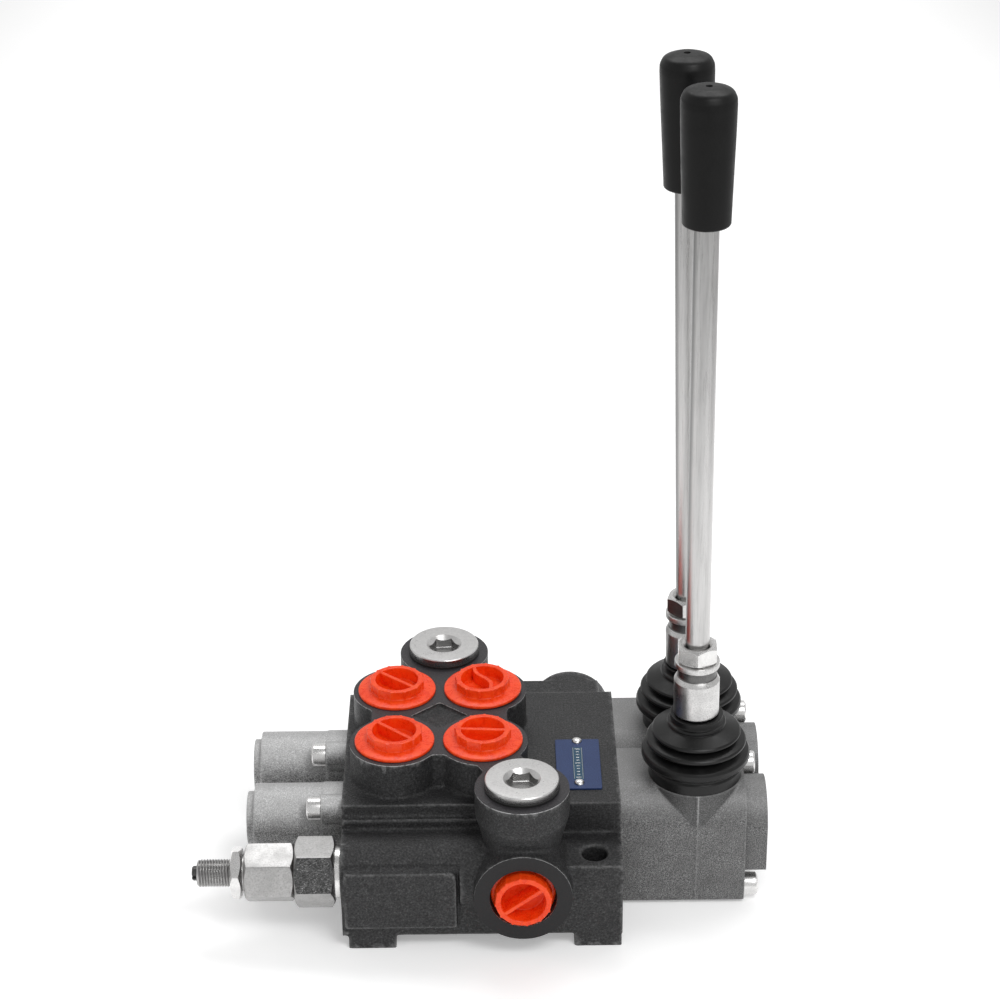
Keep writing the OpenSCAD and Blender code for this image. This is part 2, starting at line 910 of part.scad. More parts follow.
module housing(y) {
    half = housing_width / 2;
    boss_r = half - 0.05;
    chamber_r = 11;
    throat_r = 9;
    wall = 4;
    ridge = 0.4;
    low_ridge = housing_bottom + housing_bottom_r;
    high_ridge = boot_base - 0.8;
    color([0.5, 0.5, 0.5])
        translate([0, y, 0])
            difference() {
                union() {
                    housing_block();
                    z_cylinder(spool_height, boot_base, boss_r, lever_x, 0);
                    z_cylinder(spool_height, boss_top, grip_r, lever_x, 0);
                    box(lever_x - ridge, lever_x + ridge, -half - ridge, 0, low_ridge, high_ridge);
                }
                x_cylinder(body_right - 1, housing_right - wall, chamber_r, 0, spool_height);
                x_cylinder(body_right, housing_right + 1, chamber_r, 0, spool_height);
                z_cylinder(spool_height, boss_top + 1, throat_r, lever_x, 0);
                y_cylinder(-pin_blind_end, half + 1, pin_r + 0.02, lever_x, pivot_height);
                x_cylinder(body_right - 1, housing_right + 1, thread_m5_hole_r + 0.2,
                    -housing_screw_y, housing_screw_low);
                x_cylinder(body_right - 1, housing_right + 1, thread_m5_hole_r + 0.2,
                    housing_screw_y, housing_screw_high);
            }
}

module front_housing() {
    housing(front_y);
}

module rear_housing() {
    housing(rear_y);
}

// Closing cap: round over the spool, flat below, with a spigot into the housing.
module end_cap(y) {
    plate_t = 8;
    round_r = 14;
    bottom = -15.8;
    spigot = 3.5;
    x0 = housing_right + 0.1;
    color([0.45, 0.45, 0.45])
        translate([0, y, spool_height])
            difference() {
                union() {
                    x_cylinder(x0, x0 + plate_t, round_r);
                    box(x0, x0 + plate_t, -round_r, round_r, bottom, 0);
                    x_cylinder(x0 - spigot, x0 + 1, 10.95);
                }
                x_cylinder(x0 - spigot - 1, x0 + plate_t - 3, 8.5);
            }
}

module front_end_cap() {
    end_cap(front_y);
}

module rear_end_cap() {
    end_cap(rear_y);
}

module housing_screws() {
    color([0.8, 0.8, 0.8])
        for (y = [front_y, rear_y])
            for (p = [[-housing_screw_y, housing_screw_low], [housing_screw_y, housing_screw_high]])
                translate([housing_right, y + p[0], p[1]])
                    rotate([0, 90, 0])
                        socket_screw(housing_length + 10);
}

module pivot_pins() {
    color([0.65, 0.65, 0.65])
        for (y = [front_y, rear_y])
            y_cylinder(y - pin_blind_end + 0.1, y + grip_r - 0.3, pin_r, lever_x, pivot_height);
}

// ---------- levers ----------

module at_lever(y, lean) {
    translate([lever_x, y, pivot_height])
        rotate([0, -lean, 0])
            translate([0, 0, -pivot_height])
                children();
}

// Pivoted lever foot: ball end in the spool eye, pivot hub and the threaded socket above the boot.
module lever_arm(y, lean) {
    ball_r = 3.95;
    arm_r = 1.8;
    hub_r = 6;
    hub_width = 11.4;
    neck_top = 71.5;
    neck_r = 5.2;
    sleeve_r = 8.1;
    shoulder = 85;
    groove_bottom = 86.8;
    groove_top = 90.4;
    collar_top = 92.8;
    groove_r = 7;
    rod_hole_r = rod_d / 2 + 0.02;
    rod_hole_bottom = 76;
    at_lever(y, lean)
        color([0.78, 0.78, 0.76])
            difference() {
                union() {
                    translate([0, 0, spool_height])
                        sphere(r = ball_r);
                    z_cylinder(spool_height, pivot_height, arm_r);
                    y_cylinder(-hub_width / 2, hub_width / 2, hub_r, 0, pivot_height);
                    z_cylinder(pivot_height, neck_top, neck_r);
                    z_cylinder(neck_top, shoulder, sleeve_r);
                    translate([0, 0, shoulder])
                        cylinder(h = groove_bottom - shoulder, r1 = sleeve_r, r2 = groove_r + 0.4);
                    z_cylinder(groove_bottom - 1, groove_top + 1, groove_r);
                    z_cylinder(groove_top, collar_top, sleeve_r - 0.1);
                }
                y_cylinder(-hub_width, hub_width, pin_r + running_gap, 0, pivot_height);
                z_cylinder(rod_hole_bottom, collar_top + 1, rod_hole_r);
            }
}

module front_lever_arm() {
    lever_arm(front_y, front_lean);
}

module rear_lever_arm() {
    lever_arm(rear_y, rear_lean);
}

module rod_lock_nut(y, lean, turn) {
    nut_bottom = 92.85;
    nut_height = 6.5;
    across_flats = 13.4;
    edge = 0.8;
    at_lever(y, lean)
        color([0.8, 0.8, 0.78])
            translate([0, 0, nut_bottom])
                difference() {
                    chamfered_hex(nut_height, across_flats, turn, edge, 1.6);
                    translate([0, 0, -1])
                        cylinder(h = nut_height + 2, r = rod_d / 2 + 0.02);
                    translate([0, 0, nut_height - 0.9])
                        cylinder(h = 0.9 + eps, r1 = rod_d / 2, r2 = rod_d / 2 + 1.1);
                }
}

module front_lock_nut() {
    rod_lock_nut(front_y, front_lean, 28);
}

module rear_lock_nut() {
    rod_lock_nut(rear_y, rear_lean, 12);
}

module lever_rod(y, lean) {
    rod_bottom = 76.1;
    rod_top = knob_base + knob_length * 0.7;
    at_lever(y, lean)
        color([0.8, 0.8, 0.8])
            z_cylinder(rod_bottom, rod_top, rod_d / 2);
}

module front_rod() {
    lever_rod(front_y, front_lean);
}

module rear_rod() {
    lever_rod(rear_y, rear_lean);
}

// Tapered grip, widest below its domed top, with a small moulding hole at the crown.
module knob(y, lean) {
    base_r = 8.1;
    wide_r = 9.2;
    crown = knob_length;
    wide_z = crown * 0.87;
    hole_top = crown * 0.7 + 0.1;
    rod_r = rod_d / 2 + 0.02;
    at_lever(y, lean)
        color([0.06, 0.06, 0.06])
            translate([0, 0, knob_base])
                rotate_extrude()
                    polygon([[rod_r, 0], [base_r - 0.6, 0], [base_r, 0.7], [base_r + 0.1, 3],
                        [wide_r - 0.15, wide_z * 0.8], [wide_r, wide_z], [wide_r - 0.25, crown - 3.6],
                        [wide_r - 1, crown - 1.9], [wide_r - 2.4, crown - 0.9],
                        [wide_r - 5, crown - 0.2], [1.1, crown], [0.9, crown - 1.5],
                        [0, crown - 1.5], [0, hole_top], [rod_r, hole_top]]);
}

module front_knob() {
    knob(front_y, front_lean);
}

module rear_knob() {
    knob(rear_y, rear_lean);
}

// Rubber boot: base band, three convolutions and a neck around the lever.
// The two boots press on each other, so each is flat where it meets the middle plane.
module bellows(y) {
    middle_gap = 0.15;
    cut_y = y < 0 ? -middle_gap : middle_gap - 10;
    outer = [[16.8, boot_base], [16.8, 49.6], [16.2, 50.4], [19.3, 53], [19.4, 54.2], [14.9, 57],
        [17.1, 58.6], [17.2, 59.6], [13, 62.4], [15.2, 63.8], [15.4, 64.7], [10, 68.2], [9.6, 69],
        [9.6, 71]];
    inner = [[7.2, 71], [7.2, 68.4], [13.4, 64.2], [11.4, 62.4], [15.3, 59.1], [13.3, 57],
        [16.2, 53.6], [grip_r + 0.1, 52.4], [grip_r + 0.1, boot_base]];
    color([0.09, 0.09, 0.09])
        difference() {
            translate([lever_x, y, 0])
                rotate_extrude()
                    polygon(concat(outer, inner));
            box(lever_x - 20, lever_x + 20, cut_y, cut_y + 10, boot_base - 1, 80);
        }
}

module front_bellows() {
    bellows(front_y);
}

module rear_bellows() {
    bellows(rear_y);
}

// ---------- nameplate ----------

module nameplate() {
    plate_t = 0.6;
    strip_t = 0.15;
    color([0.2, 0.3, 0.5])
        difference() {
            box(27.2, 43.3, -29.3, 3.3, deck_height, deck_height + plate_t);
            for (y = [2, -25.6])
                z_cylinder(deck_height - 1, deck_height + 2, 1, 35.2, y);
            box(33.3, 37, -23.4, -2.3, deck_height + plate_t - strip_t, deck_height + 2);
        }
}

module nameplate_rivets() {
    head_r = 1.9;
    color([0.85, 0.85, 0.85])
        for (y = [2, -25.6])
            translate([35.2, y, deck_height]) {
                translate([0, 0, -3.5])
                    cylinder(h = 4.2, r = 0.95);
                translate([0, 0, 0.6])
                    rotate_extrude()
                        polygon([[0, 0], [head_r, 0], [head_r * 0.92, 0.45], [head_r * 0.7, 0.8],
                            [head_r * 0.4, 1.05], [0, 1.15]]);
            }
}

valve_body();
front_left_port_plug();
front_right_port_plug();
rear_left_port_plug();
rear_right_port_plug();
inlet_port_plug();
outlet_port_plug();
gallery_plugs();
gallery_seals();
relief_seal();
relief_body();
relief_seat();
relief_poppet();
relief_spring();
relief_cartridge();
relief_lock_nut();
relief_adjuster();
check_seat();
check_poppet();
check_spring();
spool_seals();
front_spool();
rear_spool();
front_spring_cup();
rear_spring_cup();
front_spool_bolt();
rear_spool_bolt();
front_centring_spring();
rear_centring_spring();
stop_rings();
front_spring_cover();
rear_spring_cover();
cover_screws();
front_housing();
rear_housing();
front_end_cap();
rear_end_cap();
housing_screws();
pivot_pins();
front_lever_arm();
rear_lever_arm();
front_lock_nut();
rear_lock_nut();
front_rod();
rear_rod();
front_knob();
rear_knob();
front_bellows();
rear_bellows();
nameplate();
nameplate_rivets();
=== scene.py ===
import json
import math

import bmesh
import bpy
import numpy as np
from mathutils import Matrix, Vector


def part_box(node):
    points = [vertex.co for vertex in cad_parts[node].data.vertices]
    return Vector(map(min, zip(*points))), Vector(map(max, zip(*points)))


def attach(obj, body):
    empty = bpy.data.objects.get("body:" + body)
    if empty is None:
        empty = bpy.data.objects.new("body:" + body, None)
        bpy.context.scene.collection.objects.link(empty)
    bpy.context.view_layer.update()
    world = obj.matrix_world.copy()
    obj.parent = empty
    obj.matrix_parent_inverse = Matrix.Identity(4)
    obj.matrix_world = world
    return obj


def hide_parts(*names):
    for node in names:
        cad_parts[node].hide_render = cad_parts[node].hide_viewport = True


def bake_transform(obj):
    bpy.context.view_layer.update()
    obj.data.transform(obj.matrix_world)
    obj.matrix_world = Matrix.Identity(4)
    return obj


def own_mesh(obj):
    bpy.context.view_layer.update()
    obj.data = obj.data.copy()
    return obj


# Looks of a two-section lever valve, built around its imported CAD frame.
# Shapes are written in millimetres and stored in metres; a name ending in _m is in metres.

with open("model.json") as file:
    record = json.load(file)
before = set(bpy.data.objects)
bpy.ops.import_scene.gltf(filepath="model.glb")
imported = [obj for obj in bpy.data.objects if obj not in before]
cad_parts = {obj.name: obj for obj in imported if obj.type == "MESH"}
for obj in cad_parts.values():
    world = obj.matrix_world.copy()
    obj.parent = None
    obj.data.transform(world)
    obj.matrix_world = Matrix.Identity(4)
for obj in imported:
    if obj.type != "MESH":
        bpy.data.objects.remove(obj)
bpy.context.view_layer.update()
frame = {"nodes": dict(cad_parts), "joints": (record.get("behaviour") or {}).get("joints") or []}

MM = 0.001
UP = Vector((0, 0, 1))
scene = bpy.context.scene


# ---------- places taken from the frame ----------

def low(node):
    return np.array(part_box(node)[0]) / MM


def high(node):
    return np.array(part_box(node)[1]) / MM


def centre(node):
    return (low(node) + high(node)) / 2


def parts_of(node):
    """The box (low, high) of each separate solid of a node, in millimetres."""
    mesh = bmesh.new()
    mesh.from_mesh(frame["nodes"][node].data)
    bmesh.ops.remove_doubles(mesh, verts=mesh.verts, dist=1e-7)
    left = set(mesh.verts)
    boxes = []
    while left:
        stack = [left.pop()]
        seen = list(stack)
        while stack:
            for edge in stack.pop().link_edges:
                for vert in edge.verts:
                    if vert in left:
                        left.discard(vert)
                        stack.append(vert)
                        seen.append(vert)
        places = np.array([v.co for v in seen]) / MM
        boxes.append((places.min(0), places.max(0)))
    mesh.free()
    boxes.sort(key=lambda b: tuple(np.round(b[0] + b[1], 2)))
    return boxes


def joint(name):
    return next(j for j in frame["joints"] if j["name"] == name)


# ---------- mesh building ----------

def place(origin, direction=(0, 0, 1), turn=0.0):
    """Local frame at a point: Z along the direction, X as near to up as it goes, turned about Z."""
    z = Vector(direction).normalized()
    x = Vector((1, 0, 0)) if abs(z.z) > 0.9 else (UP - z * UP.dot(z)).normalized()
    x = (x - z * x.dot(z)).normalized()
    y = z.cross(x)
    axes = Matrix((x, y, z)).transposed().to_4x4()
    return Matrix.Translation(Vector(origin)) @ axes @ Matrix.Rotation(math.radians(turn), 4, "Z")


def rounded(points, radius, steps=4):
    """An open polyline with its inner corners turned to arcs. radius is one number, or one per point."""
    points = [np.array(p, float) for p in points]
    radii = radius if hasattr(radius, "__len__") else [radius] * len(points)
    out = [points[0]]
    for before, corner, after, r in zip(points, points[1:], points[2:], radii[1:]):
        a, b = before - corner, after - corner
        la, lb = np.linalg.norm(a), np.linalg.norm(b)
        if r <= 0 or la < 1e-6 or lb < 1e-6:
            out.append(corner)
            continue
        half = math.acos(max(-1, min(1, float(a @ b) / la / lb))) / 2
        reach = min(r / max(math.tan(half), 1e-3), la * 0.45, lb * 0.45)
        p, q = corner + a / la * reach, corner + b / lb * reach
        for t in np.linspace(0, 1, steps + 1):
            out.append((1 - t) ** 2 * p + 2 * t * (1 - t) * corner + t * t * q)
    out.append(points[-1])
    return np.array(out)


def polygon_outline(sides, across_flats, corner, corner_steps=4, flat_steps=6):
    """Angles and radii of a regular polygon whose corners are rounded."""
    half = math.pi / sides
    hub = (across_flats / 2 - corner) / math.cos(half)
    arc = np.linspace(-half, half, 2 * corner_steps + 1)
    x, y = hub + corner * np.cos(arc), corner * np.sin(arc)
    tip_angles, tip_radii = np.arctan2(y, x), np.hypot(x, y)
    flat = np.linspace(tip_angles[-1] - half, half - tip_angles[-1], flat_steps + 2)[1:-1]
    angles = np.concatenate([tip_angles, flat + half])
    radii = np.concatenate([tip_radii, across_flats / 2 / np.cos(flat)])
    turns = 2 * half * np.arange(sides)
    return (angles + turns[:, None]).ravel(), np.tile(radii, sides)


def full_turn(count):
    """Evenly spaced angles once round."""
    return np.arange(count) * 2 * math.pi / count


def hexagon(across_flats, corner, chamfer, slope):
    """Angles and radii of a hexagon, how far its turned chamfer cuts down, and the radii of the end face."""
    angles, radii = polygon_outline(6, across_flats, corner)
    end_r = across_flats / 2 / math.cos(math.pi / 6) - chamfer * slope
    return angles, radii, np.maximum(0, (radii - end_r) / slope), np.minimum(radii, end_r)


def level(radius, height, count):
    """One ring of (radius, height) pairs; each is one number, or one per angle."""
    ones = np.ones(count)
    return np.stack([ones * radius, ones * height], 1)


def skin(rows, count):
    """Quads between neighbouring closed rows of count points each."""
    return [(i * count + j, i * count + (j + 1) % count,
             (i + 1) * count + (j + 1) % count, (i + 1) * count + j)
            for i in range(rows - 1) for j in range(count)]


def add_box(mesh, lo, hi, scale=1.0):
    """Adds a box from lo to hi to a bmesh."""
    lo, hi = np.array(lo, float), np.array(hi, float)
    for v in bmesh.ops.create_cube(mesh, size=1)["verts"]:
        v.co = Vector(((np.array(v.co) + 0.5) * (hi - lo) + lo) * scale)


class Shape:
    """Points and faces of one piece, in millimetres."""

    def __init__(self):
        self.points = []
        self.faces = []
        self.tags = []

    def add(self, points, faces, tag=0):
        base = len(self.points)
        self.points += [tuple(p) for p in points]
        self.faces += [tuple(base + i for i in f) for f in faces]
        self.tags += [tag] * len(faces)
        return self

    def spin(self, rings, angles, at, tag=0):
        """One profile of (radius, height) per angle, joined into a skin round the local Z axis."""
        rings = np.asarray(rings, float)
        n, m = rings.shape[:2]
        x = rings[..., 0] * np.cos(angles)[:, None]
        y = rings[..., 0] * np.sin(angles)[:, None]
        flat = np.stack([x, y, rings[..., 1]], -1).reshape(-1, 3)
        rot = np.array(at)[:3, :3]
        flat = flat @ rot.T + np.array(at)[:3, 3]
        faces = [(k * m + j, (k + 1) % n * m + j, (k + 1) % n * m + j + 1, k * m + j + 1)
                 for k in range(n) for j in range(m - 1)]
        return self.add(flat, faces, tag)

    def lathe(self, profile, at, segments=96, tag=0):
        angles = full_turn(segments)
        return self.spin(np.tile(np.asarray(profile, float), (segments, 1, 1)), angles, at, tag)

    def block(self, lo, hi, radius, tag=0):
        """Box with rounded edges."""
        mesh = bmesh.new()
        add_box(mesh, lo, hi)
        bmesh.ops.bevel(mesh, geom=mesh.edges[:], offset=radius, segments=3, profile=0.5,
                        affect="EDGES", clamp_overlap=True)
        mesh.verts.index_update()
        self.add([v.co[:] for v in mesh.verts], [[v.index for v in f.verts] for f in mesh.faces], tag)
        mesh.free()
        return self

    def ribbon(self, path, half, floor, top, soft, at):
        """Bar that follows a path in the local XY plane, its upper edges rounded."""
        path = np.asarray(path, float)
        run = np.gradient(path, axis=0)
        run /= np.linalg.norm(run, axis=1)[:, None]
        side = np.stack([-run[:, 1], run[:, 0]], 1)
        section = rounded([(-half, floor), (-half, top), (half, top), (half, floor)], soft)
        m = len(section)
        rows = []
        for p, n in zip(path, side):
            rows.append(np.column_stack([p + np.outer(section[:, 0], n), section[:, 1]]))
        points = np.concatenate(rows)
        points = points @ np.array(at)[:3, :3].T + np.array(at)[:3, 3]
        faces = skin(len(path), m)
        faces += [tuple(range(m)), tuple((len(path) - 1) * m + j for j in range(m))[::-1]]
        return self.add(points, faces)

    def tube(self, path, radius, sides):
        """Round tube along a path of points, closed at both ends."""
        path = np.asarray(path, float)
        n = len(path)
        tangent = np.gradient(path, axis=0)
        tangent /= np.linalg.norm(tangent, axis=1)[:, None]
        side = np.cross(tangent[0], [0.31, 0.87, 0.38])
        rows = []
        for p, t in zip(path, tangent):
            side = side - t * (side @ t)
            side /= np.linalg.norm(side)
            other = np.cross(t, side)
            a = full_turn(sides)
            rows.append(p + radius * (np.cos(a)[:, None] * side + np.sin(a)[:, None] * other))
        faces = skin(n, sides)
        faces += [tuple(range(sides - 1, -1, -1)), tuple((n - 1) * sides + j for j in range(sides))]
        return self.add(np.concatenate(rows), faces)


def piece(name, shape, materials, body, replaces=(), sharp=38.0):
    """Makes the object, cleans its mesh, and ties it to its body and the CAD nodes it stands for."""
    mesh = bpy.data.meshes.new(name)
    mesh.from_pydata([(x * MM, y * MM, z * MM) for x, y, z in shape.points], [], shape.faces)
    for f, tag in zip(mesh.polygons, shape.tags):
        f.material_index = tag
    work = bmesh.new()
    work.from_mesh(mesh)
    bmesh.ops.remove_doubles(work, verts=work.verts, dist=2e-6)
    bmesh.ops.dissolve_degenerate(work, edges=work.edges, dist=5e-7)
    bmesh.ops.recalc_face_normals(work, faces=work.faces)
    work.to_mesh(mesh)
    work.free()
    mesh.shade_smooth()
    mesh.set_sharp_from_angle(angle=math.radians(sharp))
    return tie(bpy.data.objects.new(name, mesh), materials, body, replaces)


def tie(obj, materials, body, replaces=()):
    if obj.name not in scene.collection.objects:
        scene.collection.objects.link(obj)
    for m in materials if isinstance(materials, (list, tuple)) else [materials]:
        obj.data.materials.append(m)
    if body:
        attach(obj, body)
    if replaces:
        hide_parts(*replaces)
    return obj


# ---------- materials ----------

class Paint:
    """A node material on one Principled shader, reading the piece's own coordinates in millimetres."""

    def __init__(self, name, **inputs):
        self.material = bpy.data.materials.new(name)
        self.material.use_nodes = True
        self.nodes = self.material.node_tree.nodes
        self.links = self.material.node_tree.links
        self.shader = self.nodes["Principled BSDF"]
        for key, value in inputs.items():
            self.shader.inputs[key.replace("_", " ")].default_value = value
        where = self.nodes.new("ShaderNodeTexCoord")
        scale = self.nodes.new("ShaderNodeVectorMath")
        scale.operation = "SCALE"
        scale.inputs["Scale"].default_value = 1 / MM
        self.links.new(where.outputs["Object"], scale.inputs[0])
        self.place = scale.outputs[0]
        self.normal = where.outputs["Normal"]

    def put(self, socket, source):
        self.links.new(source, self.shader.inputs[socket])

    def stretched(self, factors):
        node = self.nodes.new("ShaderNodeVectorMath")
        node.operation = "MULTIPLY"
        node.inputs[1].default_value = factors
        self.links.new(self.place, node.inputs[0])
        return node.outputs[0]

    def noise(self, size, detail=3.0, rough=0.55, at=None, distortion=0.0):
        node = self.nodes.new("ShaderNodeTexNoise")
        node.inputs["Scale"].default_value = 1 / size
        node.inputs["Detail"].default_value = detail
        node.inputs["Roughness"].default_value = rough
        node.inputs["Distortion"].default_value = distortion
        self.links.new(at or self.place, node.inputs["Vector"])
        return node.outputs["Fac"]

    def math(self, operation, a, b=None):
        node = self.nodes.new("ShaderNodeMath")
        node.operation = operation
        for socket, value in zip(node.inputs, (a, b)):
            if value is None:
                continue
            if isinstance(value, (int, float)):
                socket.default_value = value
            else:
                self.links.new(value, socket)
        return node.outputs[0]

    def times(self, a, b):
        return self.math("MULTIPLY", a, b)

    def span(self, value, a, b, to_a=0.0, to_b=1.0):
        """Maps value from a..b to to_a..to_b, clamped."""
        node = self.nodes.new("ShaderNodeMapRange")
        for socket, number in zip(("From Min", "From Max", "To Min", "To Max"), (a, b, to_a, to_b)):
            node.inputs[socket].default_value = number
        self.links.new(value, node.inputs["Value"])
        return node.outputs["Result"]

    def split(self, vector):
        node = self.nodes.new("ShaderNodeSeparateXYZ")
        self.links.new(vector, node.inputs[0])
        return node.outputs

    def ramp(self, value, stops):
        node = self.nodes.new("ShaderNodeValToRGB")
        ramp = node.color_ramp
        while len(ramp.elements) < len(stops):
            ramp.elements.new(0.5)
        for element, (at, colour) in zip(ramp.elements, stops):
            element.position = at
            element.color = (*colour, 1)
        self.links.new(value, node.inputs[0])
        return node.outputs["Color"]

    def mix(self, value, a, b):
        node = self.nodes.new("ShaderNodeMix")
        node.data_type = "RGBA"
        for socket, item in ((node.inputs[0], value), (node.inputs[6], a), (node.inputs[7], b)):
            if isinstance(item, (tuple, list)):
                socket.default_value = (*item, 1)
            elif isinstance(item, (int, float)):
                socket.default_value = item
            else:
                self.links.new(item, socket)
        return node.outputs[2]

    def bump(self, height, distance, strength=1.0):
        """distance is the height of the relief in millimetres."""
        node = self.nodes.new("ShaderNodeBump")
        node.inputs["Strength"].default_value = strength
        node.inputs["Distance"].default_value = distance * MM
        self.links.new(height, node.inputs["Height"])
        return node.outputs["Normal"]


def grey(value, tint=0.0):
    return (value * (1 + tint), value, value * (1 - tint))


def metal(name, tone, rough, grain=0.35, spread=0.12, bump=0.006, stretch=(1, 1, 1), tint=0.01, painted_dark_left_side=False):
    """Plated or machined steel with fine grain, soft blotches and uneven gloss; on request a painted dark
    reflection down its left-facing side.
    """
    p = Paint(name, Metallic=1.0)
    at = p.stretched(stretch)
    fine = p.noise(grain, 4, 0.7, at)
    blotch = p.noise(4.5, 3, 0.6, at)
    colour = p.ramp(fine, [(0.25, grey(tone * (1 - spread * 2.2), tint)), (0.5, grey(tone, tint)),
                           (0.78, grey(min(1, tone * (1 + spread)), tint))])
    worn = p.span(blotch, 0.42, 0.72, 0, 0.45)
    colour = p.mix(worn, colour, grey(tone * 0.72, tint))
    if painted_dark_left_side:
        # painted dark reflection: surfaces facing left are made darker
        left, _, _ = p.split(p.normal)
        colour = p.mix(p.span(left, -0.90, -0.70, 0.8, 0), colour, grey(tone * 0.25))
    p.put("Base Color", colour)
    p.put("Roughness", p.math("ADD", p.span(blotch, 0.3, 0.7, rough * 0.8, rough * 1.15),
                              p.span(fine, 0.3, 0.7, -0.04, 0.06)))
    p.put("Normal", p.bump(fine, bump))
    return p.material


def cast_iron():
    """Rough black-painted iron: sandy grain, lighter edges that are partly scuffs and partly a painted highlight,
    cleaner machined faces, the one on the side darkened as painted shade.
    """
    p = Paint("cast_iron")
    x, y, z = p.split(p.place)
    sand = p.noise(0.7, 4, 0.75)
    pit = p.noise(1.7, 3, 0.6)
    patch = p.noise(9, 3, 0.55)
    colour = p.ramp(sand, [(0.34, (0.007, 0.007, 0.0072)), (0.48, (0.024, 0.024, 0.0245)),
                           (0.60, (0.050, 0.050, 0.051)), (0.74, (0.115, 0.115, 0.117))])
    colour = p.mix(p.span(patch, 0.4, 0.7, 0, 0.3), colour, (0.014, 0.014, 0.0145))
    top = high("valve_body")[2]
    face_y = low("valve_body")[1]
    end_x = high("valve_body")[0]
    near = 0.04
    aside = p.math("LESS_THAN", y, face_y + near)
    machined = p.math("MAXIMUM", p.math("GREATER_THAN", z, top - near), aside)
    machined = p.math("MAXIMUM", machined, p.math("GREATER_THAN", p.math("ABSOLUTE", x), end_x - near))
    fine = p.noise(0.6, 4, 0.7)
    smooth = p.ramp(fine, [(0.3, (0.016, 0.015, 0.0165)), (0.5, (0.036, 0.034, 0.037)),
                           (0.72, (0.075, 0.071, 0.077))])
    # painted shade: the machined face on the side is made darker than the machined top
    smooth = p.mix(p.times(aside, 0.85), smooth, (0.008, 0.008, 0.0085))
    colour = p.mix(machined, colour, smooth)
    # chipped paint along the rims of the machined faces; the sharp outer edges of the casting are made lighter,
    # partly chipped paint and partly a painted highlight
    chip = p.noise(1.1, 4, 0.65)
    rim = p.math("MAXIMUM", p.span(z, top - 0.45, top - 0.2), p.span(y, face_y + 0.45, face_y + 0.2))
    rim = p.times(rim, p.span(chip, 0.40, 0.50, 0.25, 1))
    unmachined = p.math("SUBTRACT", 1.0, machined)
    rim = p.times(rim, unmachined)
    shape = p.nodes.new("ShaderNodeNewGeometry")
    worn_and_highlit_edge = p.span(shape.outputs["Pointiness"], 0.508, 0.545, 0, 1)
    edge = p.times(worn_and_highlit_edge, p.span(chip, 0.36, 0.62, 0.15, 0.9))
    edge = p.times(edge, unmachined)
    colour = p.mix(edge, colour, (0.17, 0.17, 0.17))
    colour = p.mix(p.times(rim, 0.9), colour, (0.55, 0.55, 0.55))
    p.put("Base Color", colour)
    p.put("Roughness", p.mix(machined, p.span(sand, 0.3, 0.7, 0.52, 0.34), p.span(fine, 0.3, 0.7, 0.42, 0.34)))
    grain = p.math("ADD", sand, p.times(pit, 0.8))
    height = p.mix(machined, grain, p.times(fine, 0.12))
    p.put("Normal", p.bump(height, 0.26, 0.9))
    p.shader.inputs["Specular IOR Level"].default_value = 0.28
    return p.material


def die_cast(name, tone, seam=None):
    """Bead-blasted aluminium: sandy grey with sparkle, darker smudges, bright edges that are partly wear and
    partly a painted highlight, and painted light on surfaces that face up; given a seam, also painted shade on the
    wall under the boot and a painted highlight along the parting line.
    """
    p = Paint(name, Metallic=0.6)
    sand = p.noise(0.42, 4, 0.85)
    smear = p.noise(7, 4, 0.6)
    speck = p.noise(0.9, 3, 0.6)
    colour = p.ramp(sand, [(0.36, grey(tone * 0.22)), (0.5, grey(tone)), (0.64, grey(tone * 2.6))])
    colour = p.mix(p.span(smear, 0.4, 0.7, 0, 0.5), colour, grey(tone * 0.7, 0.01))
    shape = p.nodes.new("ShaderNodeNewGeometry")
    # lighter convex edges: partly worn edges and partly a painted highlight
    worn_and_highlit_edge = p.span(shape.outputs["Pointiness"], 0.515, 0.57, 0, 0.8)
    sideways, _, upward = p.split(p.normal)
    worn_and_highlit_edge = p.times(worn_and_highlit_edge, p.math("LESS_THAN", p.math("ABSOLUTE", sideways), 0.98))
    colour = p.mix(p.times(worn_and_highlit_edge, p.span(speck, 0.35, 0.6, 0.3, 1)), colour, grey(tone * 2.2))
    # painted light: surfaces that face up are made lighter
    colour = p.mix(p.span(upward, 0.15, 0.75, 0, 0.4), colour, grey(tone * 2.6))
    if seam is not None:
        x, y, z = p.split(p.place)
        # painted shade: the round wall under the boot is made darker than the shoulder it rises from
        along = p.math("SUBTRACT", x, seam)
        across = p.math("SUBTRACT", p.math("ABSOLUTE", y), SECTION_Y)
        squares = p.math("ADD", p.times(along, along), p.times(across, across))
        painted_shade_area = p.math("LESS_THAN", p.math("SQRT", squares), BOSS_WALL_R)
        wall = p.times(painted_shade_area, p.span(z, SHOULDER_Z - 0.5, SHOULDER_Z + 0.5))
        wall = p.times(wall, p.span(upward, 0.5, 0.25))
        colour = p.mix(p.times(wall, 0.55), colour, grey(tone * 0.5))
        # painted highlight along the parting line, stronger higher up
        painted_seam_highlight = p.span(p.math("ABSOLUTE", p.math("SUBTRACT", x, seam)), 0.10, 0.22, 1, 0)
        painted_seam_highlight = p.times(painted_seam_highlight, p.span(z, SHOULDER_Z - 0.2, SHOULDER_Z + 2.8, 0.3, 0.85))
        colour = p.mix(p.times(painted_seam_highlight, p.span(speck, 0.3, 0.5, 0.6, 1)), colour, grey(tone * 2.4))
    p.put("Base Color", colour)
    p.put("Roughness", p.span(sand, 0.3, 0.7, 0.62, 0.46))
    p.put("Normal", p.bump(p.math("ADD", sand, p.times(speck, 0.5)), 0.12, 0.9))
    return p.material


